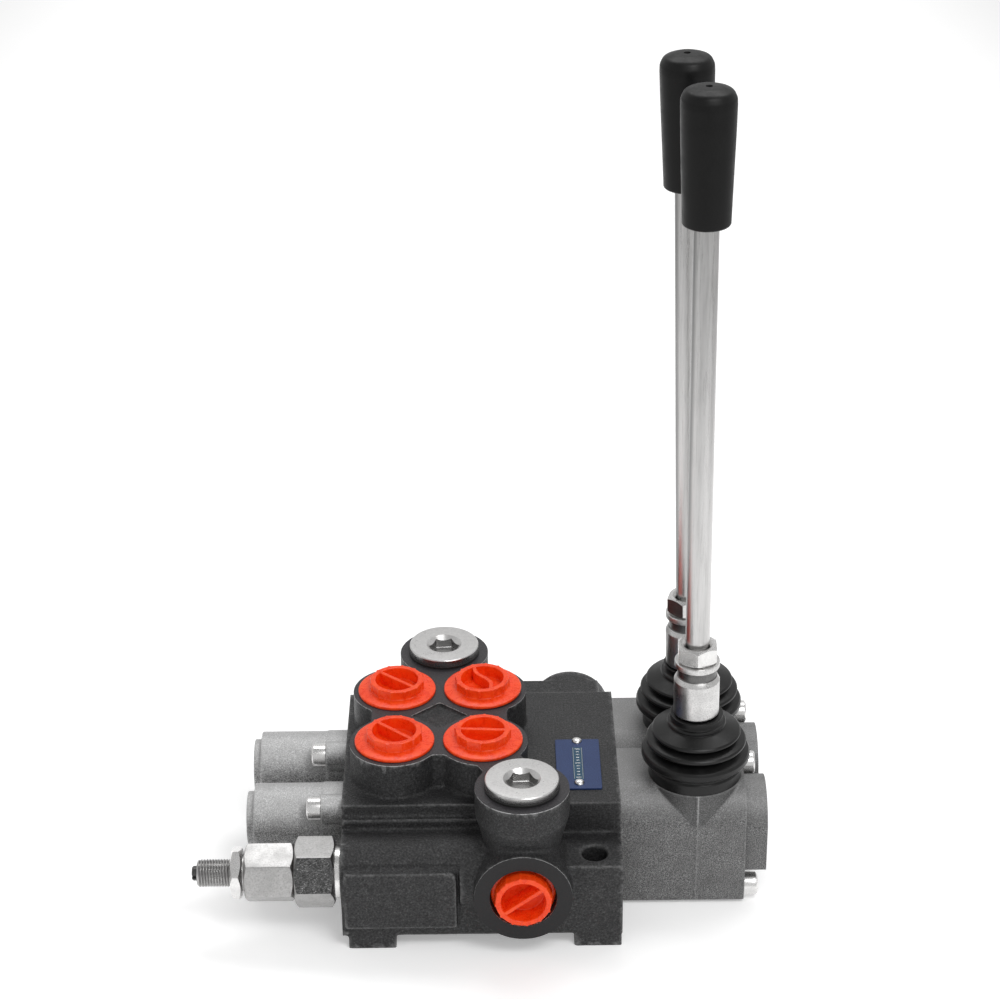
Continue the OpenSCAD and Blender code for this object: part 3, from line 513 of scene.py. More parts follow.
def dark_scratched_flat():
    """Steel, dark with light scratches."""
    p = Paint("relief_steel_dark_flat", Metallic=0.8)
    at = p.stretched((1, 1, 1.6))
    scratch = p.noise(0.9, 5, 0.75, at, distortion=1.2)
    colour = p.ramp(scratch, [(0.36, grey(0.03)), (0.54, grey(0.11)), (0.62, grey(0.30)), (0.70, grey(0.80))])
    p.put("Base Color", colour)
    p.put("Roughness", p.span(scratch, 0.4, 0.7, 0.5, 0.3))
    p.put("Normal", p.bump(scratch, 0.05))
    return p.material


def orange_plastic():
    """Moulded polyethylene: strong colour, soft gloss, faint flow marks."""
    p = Paint("orange_plastic", Subsurface_Weight=0.06, Subsurface_Scale=0.004, Specular_IOR_Level=0.38)
    p.shader.inputs["Subsurface Radius"].default_value = (1.0, 0.25, 0.1)
    flow = p.noise(3.2, 4, 0.6, distortion=0.6)
    fine = p.noise(0.5, 3, 0.6)
    colour = p.ramp(flow, [(0.3, (0.78, 0.040, 0.003)), (0.55, (0.90, 0.062, 0.005)),
                           (0.8, (0.92, 0.100, 0.012))])
    p.put("Base Color", colour)
    p.put("Roughness", p.math("ADD", p.span(flow, 0.3, 0.7, 0.22, 0.34), p.span(fine, 0.3, 0.7, -0.03, 0.05)))
    p.put("Normal", p.bump(p.math("ADD", flow, p.times(fine, 0.15)), 0.12, 0.5))
    return p.material


def rubber(name, tone, rough, dust=0.06, size=0.5, shine=0.42):
    p = Paint(name, Specular_IOR_Level=shine)
    fine = p.noise(size, 4, 0.65)
    smear = p.noise(6, 4, 0.65, distortion=0.4)
    colour = p.ramp(fine, [(0.3, grey(tone * 0.7)), (0.6, grey(tone)), (0.8, grey(tone * 1.6))])
    colour = p.mix(p.span(smear, 0.5, 0.75, 0, dust * 4), colour, grey(tone * 3.2, 0.01))
    p.put("Base Color", colour)
    p.put("Roughness", p.math("ADD", p.span(smear, 0.3, 0.7, rough - 0.06, rough + 0.1),
                              p.span(fine, 0.3, 0.7, -0.03, 0.04)))
    p.put("Normal", p.bump(fine, 0.03, 0.7))
    return p.material


def plate_paint():
    """Blue printed aluminium plate with a paler strip along its middle."""
    p = Paint("plate", Metallic=0.3, Coat_Weight=0.12, Coat_Roughness=0.3)
    fine = p.noise(0.4, 3, 0.6)
    smear = p.noise(5, 3, 0.5)
    colour = p.ramp(fine, [(0.3, (0.005, 0.020, 0.085)), (0.55, (0.012, 0.036, 0.130)),
                           (0.75, (0.040, 0.080, 0.22))])
    colour = p.mix(p.span(smear, 0.45, 0.7, 0, 0.3), colour, (0.022, 0.050, 0.15))
    p.put("Base Color", colour)
    p.put("Roughness", p.span(smear, 0.3, 0.7, 0.34, 0.46))
    p.put("Normal", p.bump(fine, 0.02, 0.5))
    return p.material


SECTION_Y = abs(joint("front_lever_pivot")["pos_m"][1]) / MM
# round wall under each boot, with a little room, and the height where the housing's front shoulder starts; they
# place the painted shade on that wall
BOSS_WALL_R = 17.5
SHOULDER_Z = 33.7
IRON = cast_iron()
CAST = die_cast("die_cast", 0.28)
HOUSING = die_cast("die_cast_housing", 0.145, seam=joint("front_lever_pivot")["pos_m"][0] / MM)
CAP = die_cast("die_cast_cap", 0.14)
ORANGE = orange_plastic()
RELIEF = metal("relief_steel", 0.46, 0.36, grain=0.6, spread=0.2, bump=0.014)
RELIEF_DARK = dark_scratched_flat()
BRIGHT = metal("bright_steel", 0.80, 0.27, spread=0.06, bump=0.003)
THREAD = metal("thread_steel", 0.42, 0.30, spread=0.2)
PLAIN = metal("plain_steel", 0.42, 0.34)
DARK = metal("dark_steel", 0.10, 0.42, spread=0.3)
SPRING = metal("spring_steel", 0.34, 0.3)
SPOOL = metal("spool_steel", 0.60, 0.16, bump=0.002, spread=0.05)
# the rod and the sleeve carry the painted dark reflection on their left-facing side
ROD = metal("rod_steel", 0.60, 0.30, grain=0.8, spread=0.12, bump=0.004, stretch=(1, 1, 0.05), painted_dark_left_side=True)
SLEEVE = metal("sleeve_steel", 0.64, 0.33, grain=0.5, spread=0.22, bump=0.016, painted_dark_left_side=True)
# dark steel in the sleeve's groove: painted shade
GROOVE_SHADE = metal("groove_steel_shaded", 0.16, 0.36, spread=0.3, bump=0.02)
SEAL = rubber("seal_rubber", 0.018, 0.5)
BOOT = rubber("boot_rubber", 0.0045, 0.36, dust=0.08, size=0.7, shine=0.34)
KNOB = rubber("knob_plastic", 0.0042, 0.40, dust=0.03, size=0.5, shine=0.24)
PLATE = plate_paint()
STRIP = metal("plate_strip", 0.11, 0.40, spread=0.3, tint=-0.5)
STRIP_BRIGHT = metal("plate_strip_print", 0.42, 0.32, tint=-0.06)
PLUG = metal("plug_steel", 0.66, 0.34, grain=0.5, spread=0.10, bump=0.01)
# darker steel inside the plugs' hex sockets and on their hidden stems: partly duller plating, partly painted shade
# in the recess
SOCKET_DULL_AND_SHADED = metal("socket_steel_dull_and_shaded", 0.42, 0.28, grain=0.4, spread=0.2, bump=0.01)
NUT = metal("nut_steel", 0.76, 0.26, spread=0.1, bump=0.006)


# ---------- cast pieces: the CAD solid, remeshed so its edges and fillets are rounded ----------

def block_cut(lo, hi):
    """A box that cuts, given in millimetres."""
    corners = [(x * MM, y * MM, z * MM) for x in (lo[0], hi[0]) for y in (lo[1], hi[1]) for z in (lo[2], hi[2])]
    mesh = bpy.data.meshes.new("cutter")
    mesh.from_pydata(corners, [], [(0, 1, 3, 2), (4, 6, 7, 5), (0, 4, 5, 1), (2, 3, 7, 6), (0, 2, 6, 4),
                                   (1, 5, 7, 3)])
    return bpy.data.objects.new("cutter", mesh)


def value_noise(places, size, seed):
    """Smooth random value from -1 to 1 at each place, the same on every run."""
    cell = places / size
    base = np.floor(cell).astype(np.int64)
    part = cell - base
    part = part * part * (3 - 2 * part)
    total = np.zeros(len(places))
    for corner in range(8):
        step = np.array([corner & 1, corner >> 1 & 1, corner >> 2 & 1])
        key = (base + step) * np.array([73856093, 19349663, 83492791])
        mixed = (key[:, 0] ^ key[:, 1] ^ key[:, 2]) + seed * 2654435761
        mixed = (mixed ^ (mixed >> 13)) * 1274126177 & 0x7FFFFFFF
        mixed = (mixed ^ (mixed >> 11)) & 0xFFFF
        weight = np.prod(np.where(step, part, 1 - part), axis=1)
        total += weight * (mixed / 32767.5 - 1)
    return total


def modified(obj, kind, **settings):
    """The object's mesh after one modifier, in place of its old mesh."""
    modifier = obj.modifiers.new("work", kind)
    for key, value in settings.items():
        setattr(modifier, key, value)
    bpy.context.view_layer.update()
    done = bpy.data.meshes.new_from_object(obj.evaluated_get(bpy.context.evaluated_depsgraph_get()))
    obj.modifiers.remove(modifier)
    obj.data = done


def casting(name, node, material, voxel, rounds, planes, fill=(), rough=0.05, faces=180_000, joins=()):
    """planes: (axis, side, coordinate) of machined faces, cut flat after the rounding.
    fill: boxes that close hidden passages. joins: shapes to add."""
    grow, far, deep = 2.4, 400, 30
    mesh = frame["nodes"][node].data.copy()
    mesh.materials.clear()
    obj = bpy.data.objects.new(name, mesh)
    scene.collection.objects.link(obj)
    work = bmesh.new()
    work.from_mesh(mesh)
    bmesh.ops.remove_doubles(work, verts=work.verts, dist=1e-7)
    for axis, side, at in planes:
        for v in work.verts:
            if abs(v.co[axis] / MM - at) < 2e-3:
                v.co[axis] += side * grow * MM
    for lo, hi in fill:
        add_box(work, lo, hi, MM)
    work.to_mesh(mesh)
    work.free()
    modified(obj, "REMESH", mode="VOXEL", voxel_size=voxel * MM, adaptivity=0.0)
    modified(obj, "SMOOTH", factor=0.5, iterations=rounds)
    co = np.zeros(len(obj.data.vertices) * 3)
    obj.data.vertices.foreach_get("co", co)
    co = co.reshape(-1, 3)
    normal = np.zeros(len(co) * 3)
    obj.data.vertices.foreach_get("normal", normal)
    wave = 0.55 * value_noise(co / MM, 2.3, 1) + 0.45 * value_noise(co / MM, 1.2, 2)
    wave += 0.8 * value_noise(co / MM, 9.0, 3)
    co += normal.reshape(-1, 3) * (wave * rough * MM)[:, None]
    obj.data.vertices.foreach_set("co", co.ravel())
    if len(obj.data.polygons) * 2 > faces:
        modified(obj, "DECIMATE", ratio=faces / (len(obj.data.polygons) * 2))
    for extra in joins:
        other = piece("join", extra, material, None)
        modified(obj, "BOOLEAN", operation="UNION", solver="MANIFOLD", object=other)
        bpy.data.objects.remove(other)
    for axis, side, at in planes:
        lo, hi = [-far] * 3, [far] * 3
        lo[axis], hi[axis] = (at, at + deep) if side > 0 else (at - deep, at)
        cutter = block_cut(lo, hi)
        scene.collection.objects.link(cutter)
        modified(obj, "BOOLEAN", operation="DIFFERENCE", solver="MANIFOLD", object=cutter)
        bpy.data.objects.remove(cutter)
    obj.data.materials.clear()
    obj.data.shade_smooth()
    obj.data.set_sharp_from_angle(angle=math.radians(36))
    return tie(obj, material, "valve", [node])


# ---------- cast pieces ----------

body_low, body_high = low("valve_body"), high("valve_body")
port_face = body_high[2]
side_face = body_low[1]
casting("cast_block", "valve_body", IRON, voxel=0.6, rounds=6,
        planes=[(2, 1, port_face), (2, -1, 0.0), (0, -1, body_low[0]), (0, 1, body_high[0]),
                (1, -1, side_face), (1, 1, body_high[1])],
        fill=[((body_low[0] + 3, -36, 8), (body_high[0] - 3, 36, 44)),
              ((body_low[0] + 4, -46, 18), (2, -34, 34))])

SECTIONS = ("front", "rear")
for section in SECTIONS:
    cover = section + "_spring_cover"
    casting(section + "_cover_casting", cover, CAST, voxel=0.40, rounds=5, rough=0.03,
            planes=[(0, 1, high(cover)[0])], faces=150_000)
    housing = section + "_housing"
    lo, hi = low(housing), high(housing)
    seam_x = joint(section + "_lever_pivot")["pos_m"][0] / MM
    # a raised parting line on the visible side, no deeper than the wall
    seam_half, wall = 0.28, 3
    seam = Shape().block((seam_x - seam_half, lo[1] + 0.42, lo[2] + 3),
                         (seam_x + seam_half, lo[1] + wall, lo[2] + 34), 0.12)
    casting(section + "_housing_casting", housing, HOUSING, voxel=0.5, rounds=2, rough=0.03,
            planes=[(0, 1, hi[0]), (0, -1, lo[0])], joins=[seam], faces=150_000)
    cap = section + "_end_cap"
    casting(section + "_cap_casting", cap, CAP, voxel=0.42, rounds=2, rough=0.04,
            planes=[(0, 1, high(cap)[0])], faces=80_000)


# ---------- plastic port plugs ----------

def port_plug(name, seat, direction, turn, stem_r, stem_length, ring_height, bend=0.0, tilt=None):
    """Flange, ribbed grip ring, grip bar and hollow stem, moulded in one."""
    node = name + "_port_plug"
    flange_r = (high(node) - low(node))[0] / 2
    at = place(seat, direction, turn)
    if tilt is not None:
        at = Matrix.Translation((0, 0, 0.35)) @ at @ Matrix.Rotation(math.radians(tilt[0]), 4, tilt[1])
    flange_top, ring_r, inner_r, floor = 1.35, 9.75, 7.85, 0.45
    top = flange_top + ring_height
    corners = [(0, -0.7), (stem_r - 1.5, -0.7), (stem_r - 1.5, -stem_length), (stem_r, -stem_length),
               (stem_r, 0.02), (flange_r, 0.02),
               (flange_r, flange_top - 0.25), (ring_r + 1.2, flange_top + 0.12), (ring_r, flange_top + 0.3),
               (ring_r, top), (inner_r, top), (inner_r - 0.15, floor), (0, floor)]
    profile = rounded(corners, [0, 0, 0.3, 0.3, 0, 0.3, 0.55, 0.5, 0.5, 0.42, 0.42, 0.5, 0], 4)
    count, segments = 12, 288
    angles = full_turn(segments)
    rings = np.tile(profile, (segments, 1, 1))
    wall = np.abs(profile[:, 0] - ring_r) < 0.35
    wall &= (profile[:, 1] > flange_top + 0.35) & (profile[:, 1] < top - 0.05)
    off = (angles * count / (2 * math.pi) + 0.5) % 1 - 0.5
    ridge = 0.42 * np.exp(-(off * 2 * math.pi / count * ring_r / 0.42) ** 2)
    rings[:, wall, 0] += ridge[:, None]
    shape = Shape().spin(rings, angles, at)
    t = np.linspace(-1, 1, 33)
    reach = inner_r + 0.35
    sway = bend * np.sin(t * math.pi) + bend * 0.6 * (1 - t * t)
    shape.ribbon(np.stack([t * reach, sway], 1), 0.72, floor - 0.4, top - 0.12, 0.3, at)
    return piece(name + "_plug", shape, ORANGE, "valve", [node], sharp=50)


# the rear right plug sits a little crooked and its grip bar is bent
CROOKED = {"rear_right": {"bend": 1.1, "tilt": (1.5, Vector((1, 0.3, 0)))}}
for name, turn in (("front_left", -43), ("front_right", -4), ("rear_left", -41), ("rear_right", -68)):
    x, y, _ = centre(name + "_port_plug")
    port_plug(name, (x, y, port_face), (0, 0, 1), turn, stem_r=8.2, stem_length=8, ring_height=3.7,
              **CROOKED.get(name, {}))
for name, facing, turn in (("inlet", -1, -53), ("outlet", 1, 110)):
    x, _, z = centre(name + "_port_plug")
    face = side_face if facing < 0 else body_high[1]
    sunk = 4.55
    port_plug(name, (x, face - facing * sunk, z), (0, facing, 0), turn, stem_r=10.4, stem_length=5,
              ring_height=5.7)


# ---------- steel plugs over the galleries ----------

def socket_head(shape, across_flats, corner, floor, mouth_r, mouth_depth, rim, at):
    """Turned head with a hexagonal socket whose mouth is coned at height 0. Tags: socket 1, the rest 0."""
    angles, radii = polygon_outline(6, across_flats, corner)
    lip = (radii - mouth_r) * mouth_depth / (mouth_r - across_flats / 2)
    n = len(angles)
    deep = [level(0, floor, n), level(radii - 0.25, floor, n), level(radii, floor + 0.25, n), level(radii, lip, n)]
    shape.spin(np.stack(deep, 1), angles, at, 1)
    mouth = np.stack([deep[-1], level(mouth_r, 0, n)], 1)
    shape.spin(np.concatenate([mouth, np.tile(np.asarray(rim, float), (len(angles), 1, 1))], 1), angles, at)


plug_shape, seal_shape = Shape(), Shape()
for lo, hi in parts_of("gallery_plugs"):
    x, y = (lo + hi)[:2] / 2
    r = (hi - lo)[0] / 2
    at = place((x, y, hi[2]), (0, 0, 1), 2)
    mouth_r, stem_r, stem_end = 6.6, 10.4, -13.2
    rim = rounded([(mouth_r, 0), (r - 0.3, 0), (r, -0.3), (r, -0.5)], 0.1)[1:]
    socket_head(plug_shape, 10, 0.2, -4.6, mouth_r, 1.6, rim, at)
    stem = [(r, -0.5), (r, -2.5), (stem_r, -2.5), (stem_r, stem_end), (0, stem_end)]
    plug_shape.lathe(rounded(stem, [0, 0.15, 0, 0.3, 0]), at, tag=1)
for lo, hi in parts_of("gallery_seals"):
    x, y = (lo + hi)[:2] / 2
    r = (hi - lo)[0] / 2
    ring = rounded([(10.6, 0.5), (10.6, 0.02), (r, 0.02), (r, 1.18), (10.6, 1.18), (10.6, 0.5)], 0.35)
    seal_shape.lathe(ring, place((x, y, lo[2])))
piece("gallery_plug_pair", plug_shape, [PLUG, SOCKET_DULL_AND_SHADED], "valve", ["gallery_plugs"], sharp=30)
piece("gallery_seal_pair", seal_shape, SEAL, "valve", ["gallery_seals"])


# ---------- relief valve ----------

_, relief_y, relief_z = centre("relief_lock_nut")


def on_relief(x, turn=0.0):
    """Local frame on the relief valve's axis, looking along X."""
    return place((x, relief_y, relief_z), (1, 0, 0), turn)


def hex_bar(shape, start, end, across_flats, turn, chamfer, bore=0.0, corner=0.25):
    """Hexagon bar along X; the turned chamfers leave scallops on its flats."""
    angles, radii, cut, face = hexagon(across_flats, corner, chamfer, slope=1.7)
    length = end - start
    rows = []
    for at, sign in ((0, 1), (length, -1)):
        edge = np.stack([radii, at + sign * cut], 1)
        soft = np.stack([face - 0.05 + (radii - face) * 0.08, at + sign * (cut * 0.08)], 1)
        hole = level(bore, at, len(angles))
        rows += [hole, soft, edge] if sign > 0 else [edge, soft, hole]
    if bore:
        rows.append(rows[0])
    return shape.spin(np.stack(rows, 1), angles, on_relief(start, turn))


lo, hi = low("relief_body"), high("relief_body")
hex_end = low("relief_seal")[0]
shape = Shape()
hex_bar(shape, lo[0], hex_end, across_flats=22, turn=32.5, chamfer=1.1)
neck_r, bore_r, neck = 8.9, 6.1, hi[0] - hex_end
shape.lathe(rounded([(0, 0), (neck_r, 0), (neck_r, neck), (bore_r, neck), (bore_r, 3), (0, 3)], 0.3),
            on_relief(hex_end))
big_hex = piece("relief_hex", shape, [RELIEF, RELIEF_DARK], "valve", ["relief_body"], sharp=25)
for f in big_hex.data.polygons:
    # one flat of the large hexagon is dark with light scratches
    if f.normal.y < -0.6 and f.normal.z > 0.1 and f.center.x < hex_end * MM and abs(f.normal.x) < 0.3:
        f.material_index = 1

lo, hi = low("relief_seal"), high("relief_seal")
r, bore_r, thick = (hi - lo)[1] / 2, 7, hi[0] - lo[0]
ring = [(bore_r, 0.6), (bore_r, 0), (r, 0), (r, thick), (bore_r, thick), (bore_r, 0.6)]
shape = Shape().lathe(rounded(ring, 0.45), on_relief(lo[0]))
piece("relief_washer", shape, BRIGHT, "valve", ["relief_seal"])

lo, hi = low("relief_cartridge"), high("relief_cartridge")
collar = 0.9
shape = Shape()
hex_bar(shape, lo[0] + collar, hi[0], across_flats=19, turn=46, chamfer=1.2, corner=0.45)
ring = [(5.05, 0.4), (5.05, 0), (6.5, 0), (6.5, 2), (5.05, 2), (5.05, 0.4)]
shape.lathe(rounded(ring, 0.2), on_relief(lo[0]))
piece("relief_long_hex", shape, RELIEF, "valve", ["relief_cartridge"], sharp=25)

lo, hi = low("relief_lock_nut"), high("relief_lock_nut")
shape = hex_bar(Shape(), lo[0], hi[0], across_flats=17, turn=6, chamfer=0.95, bore=5.0)
piece("relief_nut", shape, BRIGHT, "relief_lock_nut_body", ["relief_lock_nut"], sharp=25)


def thread_rings(length, major, depth, pitch, segments, per_turn=8, lead=0.8):
    """Rings of a right-hand thread along Z, with coned ends."""
    angles = full_turn(segments)
    steps = int(round(length / pitch * per_turn))
    heights = np.linspace(0, length, steps + 1)
    phase = (heights[None, :] / pitch - angles[:, None] / (2 * math.pi)) % 1
    wave = np.clip(np.abs(phase - 0.5) * 2.6 - 0.3, 0, 1)
    radii = major - depth * wave
    ends = np.minimum(heights, length - heights)[None, :]
    radii = np.minimum(radii, major - depth * 1.25 + ends * depth / lead * 1.4)
    return angles, np.stack([radii, np.broadcast_to(heights, radii.shape)], -1)


lo, hi = low("relief_adjuster"), high("relief_adjuster")
tip, thread_length = 1.9, 22.6
angles, rings = thread_rings(thread_length, major=4.93, depth=0.55, pitch=1.0, segments=96)
shape = Shape()
cap_low = np.tile([[0.0, 0.0]], (len(angles), 1, 1))
cap_high = np.tile([[0.0, thread_length]], (len(angles), 1, 1))
shape.spin(np.concatenate([cap_low, rings, cap_high], 1), angles, on_relief(lo[0] + tip))
shape.lathe(rounded([(0, 0), (5.55, 0), (5.55, 3.1), (0, 3.1)], 0.3), on_relief(hi[0] - 3.2))
slot_half = 0.6
for s in (-1, 1):
    rim = [(0.62, 0), (2.2, 0), (2.6, 0.5), (2.6, tip + 0.6), (0.62, tip + 0.6), (0.62, 0)]
    half = Shape().lathe(rounded(rim, 0.2, 2), on_relief(lo[0]), 48)
    points = [(x, y, z if (z - relief_z) * s > slot_half else relief_z + s * slot_half)
              for x, y, z in half.points]
    shape.add(points, half.faces, 1)
piece("relief_stud", shape, [THREAD, DARK], "relief_adjuster_body", ["relief_adjuster"], sharp=40)


# ---------- screws ----------

def socket_screws(name, node, facing):
    """Socket-head screws along X; facing is the side of the head."""
    shape = Shape()
    for lo, hi in parts_of(node):
        _, y, z = (lo + hi) / 2
        end = hi[0] if facing > 0 else lo[0]
        rim = rounded([(2.6, 0), (3.65, 0), (4.25, -0.6), (4.25, -5.2), (2.5, -5.2), (2.5, -(hi - lo)[0]),
                       (0, -(hi - lo)[0])], [0, 0.4, 0.4, 0.25, 0, 0.3, 0])
        socket_head(shape, 4, 0.12, -2.8, 2.6, 0.6, rim[1:], place((end, y, z), (facing, 0, 0), 20 + 35 * y))
    # the socket in each bright head takes the dark steel: painted shade in the recess
    return piece(name, shape, [BRIGHT, DARK], "valve", [node], sharp=35)


socket_screws("cover_screw_set", "cover_screws", -1)
socket_screws("housing_screw_set", "housing_screws", 1)


# ---------- levers ----------

def pivot_of(section):
    return Vector(joint(section + "_lever_pivot")["pos_m"]) / MM


for section, nut_turn in (("front", 28), ("rear", 12)):
    body = section + "_lever"
    pivot = pivot_of(section)
    along = (Vector(centre(section + "_rod")) - pivot).normalized()
    base = place(pivot, along)
    arm_length = pivot.z - centre(section + "_spool")[2]
    # foot: hub, short arm, ball; sleeve above the boot
    neck_r, sleeve_r, groove_r, hole_r = 5.2, 8.1, 6.9, 4.33
    neck_top, shoulder, groove_low, groove_high, collar_top = 25.5, 39.0, 40.7, 44.4, 46.8
    low_part = rounded([(0, 0), (neck_r, 0), (neck_r, neck_top), (sleeve_r, neck_top), (sleeve_r, shoulder),
                        (groove_r + 0.3, groove_low)], [0, 0, 0.2, 0.45, 0.25, 0])
    groove = rounded([(groove_r + 0.3, groove_low), (groove_r, groove_low + 0.3), (groove_r, groove_high),
                      (sleeve_r - 0.4, groove_high)], [0, 0.2, 0.2, 0])
    high_part = rounded([(sleeve_r - 0.4, groove_high), (sleeve_r - 0.1, groove_high + 0.3),
                         (sleeve_r - 0.1, collar_top), (hole_r, collar_top), (hole_r, 30), (0, 30)],
                        [0, 0.15, 0.4, 0.2, 0.2, 0])
    shape = Shape().lathe(low_part, base, 128).lathe(groove, base, 128, 1).lathe(high_part, base, 128)
    shape.lathe(rounded([(1.96, -5.7), (6, -5.7), (6, 5.7), (1.96, 5.7), (1.96, -5.7)], 0.4),
                place(pivot, (0, 1, 0)), 64)
    shape.lathe([(0, -arm_length), (1.8, -arm_length), (1.8, -5), (0, -5)], base, 32)
    ball_r = 3.95
    ball = [(ball_r * math.cos(a), ball_r * math.sin(a) - arm_length)
            for a in np.linspace(-math.pi / 2, math.pi / 2, 17)]
    shape.lathe(ball, base, 48)
    piece(section + "_sleeve", shape, [SLEEVE, GROOVE_SHADE], body, [section + "_lever_arm"], sharp=30)

    nut_height = 6.5
    angles, radii, cut, face = hexagon(across_flats=13.4, corner=0.25, chamfer=0.85, slope=1.6)
    bottom = collar_top + 0.05
    top = bottom + nut_height
    rows = [level(r, h, len(angles)) for r, h in (
        (hole_r, bottom), (face, bottom), (radii, bottom + cut), (radii, top - cut), (face, top),
        (5.45, top), (5.3, top - 0.15), (hole_r, top - 1.1), (hole_r, bottom))]
    shape = Shape().spin(np.stack(rows, 1), angles, place(pivot, along, nut_turn))
    nut = piece(section + "_nut", shape, [NUT, DARK], body, [section + "_lock_nut"], sharp=25)
    if section == "rear":
        # the flat turned to the ports is made dark
        for f in nut.data.polygons:
            if f.normal.x < -0.2 and f.normal.y < -0.2 and abs(f.normal.z) < 0.3:
                f.material_index = 1

    rod_r = 4.3
    knob_low, knob_high = 210.5, 257.0
    rod_top = knob_low + (knob_high - knob_low) * 0.7
    rod = rounded([(0, 30.2), (3.9, 30.2), (3.9, 53.1), (rod_r, 54.4), (rod_r, rod_top), (0, rod_top)],
                  [0, 0.4, 0.3, 0.6, 0.4, 0])
    piece(section + "_bar", Shape().lathe(rod, base, 64), ROD, body, [section + "_rod"], sharp=40)

    k, length = knob_low, knob_high - knob_low
    wide = length * 0.87
    knob = rounded([(hole_r, k + 2), (hole_r, k + 0.6), (5.2, k), (7.7, k), (8.1, k + 0.5), (8.15, k + 3),
                    (9.05, k + wide * 0.8), (9.2, k + wide), (9.1, k + length - 3.8),
                    (8.0, k + length - 1.4), (4.5, k + length - 0.2),
                    (1.15, k + length), (0.85, k + length - 1.6), (0, k + length - 1.6)],
                   [0, 0.2, 0.3, 0.4, 0.5, 3, 8, 6, 3, 3, 4, 0.25, 0.3, 0], 5)
    hole_end = k + length * 0.7 + 0.1
    knob = np.concatenate([knob, [(0, hole_end), (hole_r, hole_end), (hole_r, k + 2)]])
    shape = Shape().lathe(knob, base, 96)
    piece(section + "_grip", shape, KNOB, body, [section + "_knob"], sharp=45)


# ---------- rubber boots ----------

def boot(section):
    node = section + "_bellows"
    x, _, _ = centre(node)
    pivot = pivot_of(section)
    foot = low(node)[2]
    outer = [(16.8, foot), (16.8, 49.9), (16.2, 50.6), (16.3, 51.2), (18.9, 53.2), (19.4, 53.9), (19.4, 55.6),
             (18.9, 56.5), (15.0, 57.9), (14.9, 58.3), (17.5, 59.4), (17.9, 59.9), (17.9, 60.6), (17.4, 61.1),
             (13.4, 62.3), (13.3, 62.6), (15.5, 63.2), (15.9, 63.6), (15.9, 64.2), (15.4, 64.7),
             (10.8, 66.6), (10.2, 66.9), (10.6, 67.5), (10.3, 68.2), (9.5, 68.4), (9.35, 68.9), (9.5, 71)]
    inner = [(7.3, 71), (7.2, 68.0), (13.6, 64.0), (11.8, 62.5), (15.9, 60.2), (13.4, 58.1), (17.5, 54.9),
             (15.4, 52.6), (15.4, foot)]
    soft = [0] + [0.3] * (len(outer) + len(inner))
    profile = rounded(outer + inner + [outer[0]], soft, 5)
    shape = Shape().lathe(profile, place((x, pivot.y, 0)), 160)
    # the two boots press each other flat at the middle plane
    inward = -1 if pivot.y > 0 else 1
    free, limit = 15.6, 17.3
    out = []
    for px, py, pz in shape.points:
        d = (py - pivot.y) * inward
        if d > free:
            d = free + (limit - free) * math.tanh((d - free) / (limit - free))
        out.append((px, pivot.y + d * inward, pz))
    shape.points = out
    obj = piece(section + "_boot", shape, BOOT, None, [node], sharp=60)
    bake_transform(obj)


for section in SECTIONS:
    boot(section)


# ---------- nameplate ----------

lo, hi = low("nameplate"), high("nameplate")
shape = Shape()
outline = []
r = 0.7
for cx, cy, a0 in ((hi[0] - r, hi[1] - r, 0), (lo[0] + r, hi[1] - r, 90),
                   (lo[0] + r, lo[1] + r, 180), (hi[0] - r, lo[1] + r, 270)):
    for a in np.radians(np.linspace(a0, a0 + 90, 7)):
        outline.append((cx + r * math.cos(a), cy + r * math.sin(a)))
outline = np.array(outline)
middle = outline.mean(0)
rows = []
for inset, z in ((0, lo[2]), (0, hi[2] - 0.12), (0.04, hi[2] - 0.04), (0.12, hi[2])):
    d = outline - middle
    rows.append(np.column_stack([middle + d * (1 - inset / np.abs(d).max(0)), np.full(len(outline), z)]))
n = len(outline)
faces = skin(len(rows), n) + [tuple(range(n))[::-1], tuple(3 * n + j for j in range(n))]
shape.add(np.concatenate(rows), faces)
rivet_y = [(a + b)[1] / 2 for a, b in parts_of("nameplate_rivets")]
strip_x = (lo[0] + hi[0]) / 2 - 0.1
strip_low, strip_high = min(rivet_y) + 2.2, max(rivet_y) - 4.3
z = hi[2]
shape.block((strip_x - 1.9, strip_low, z - 0.2), (strip_x + 1.9, strip_high, z + 0.07), 0.06, tag=1)
for s in (-1, 1):
    line_x, line_half = strip_x + s * 1.55, 0.12
    shape.block((line_x - line_half, strip_low + 0.4, z),
                (line_x + line_half, strip_high - 0.4, z + 0.16), 0.05, tag=2)
count = 11
for i in range(count):
    y = strip_low + 1.2 + (strip_high - strip_low - 2.4) * i / (count - 1)
    half = 0.95 if i % 5 == 0 else 0.6
    shape.block((strip_x - half, y - 0.3, z), (strip_x + half, y + 0.3, z + 0.2), 0.08, tag=2)
piece("plate_blue", shape, [PLATE, STRIP, STRIP_BRIGHT], "valve", ["nameplate"], sharp=12)

shape = Shape()
for lo, hi in parts_of("nameplate_rivets"):
    x, y = (lo + hi)[:2] / 2
    r = (hi - lo)[0] / 2
    dome = [(r * math.sin(a), hi[2] - 1.15 + 1.15 * math.cos(a)) for a in np.linspace(0, math.pi / 2, 12)]
    shape.lathe(dome + [(0.95, hi[2] - 1.15), (0.95, lo[2]), (0, lo[2])], place((x, y, 0)), 48)
piece("plate_rivets", shape, BRIGHT, "valve", ["nameplate_rivets"], sharp=40)


# ---------- springs and inner parts ----------

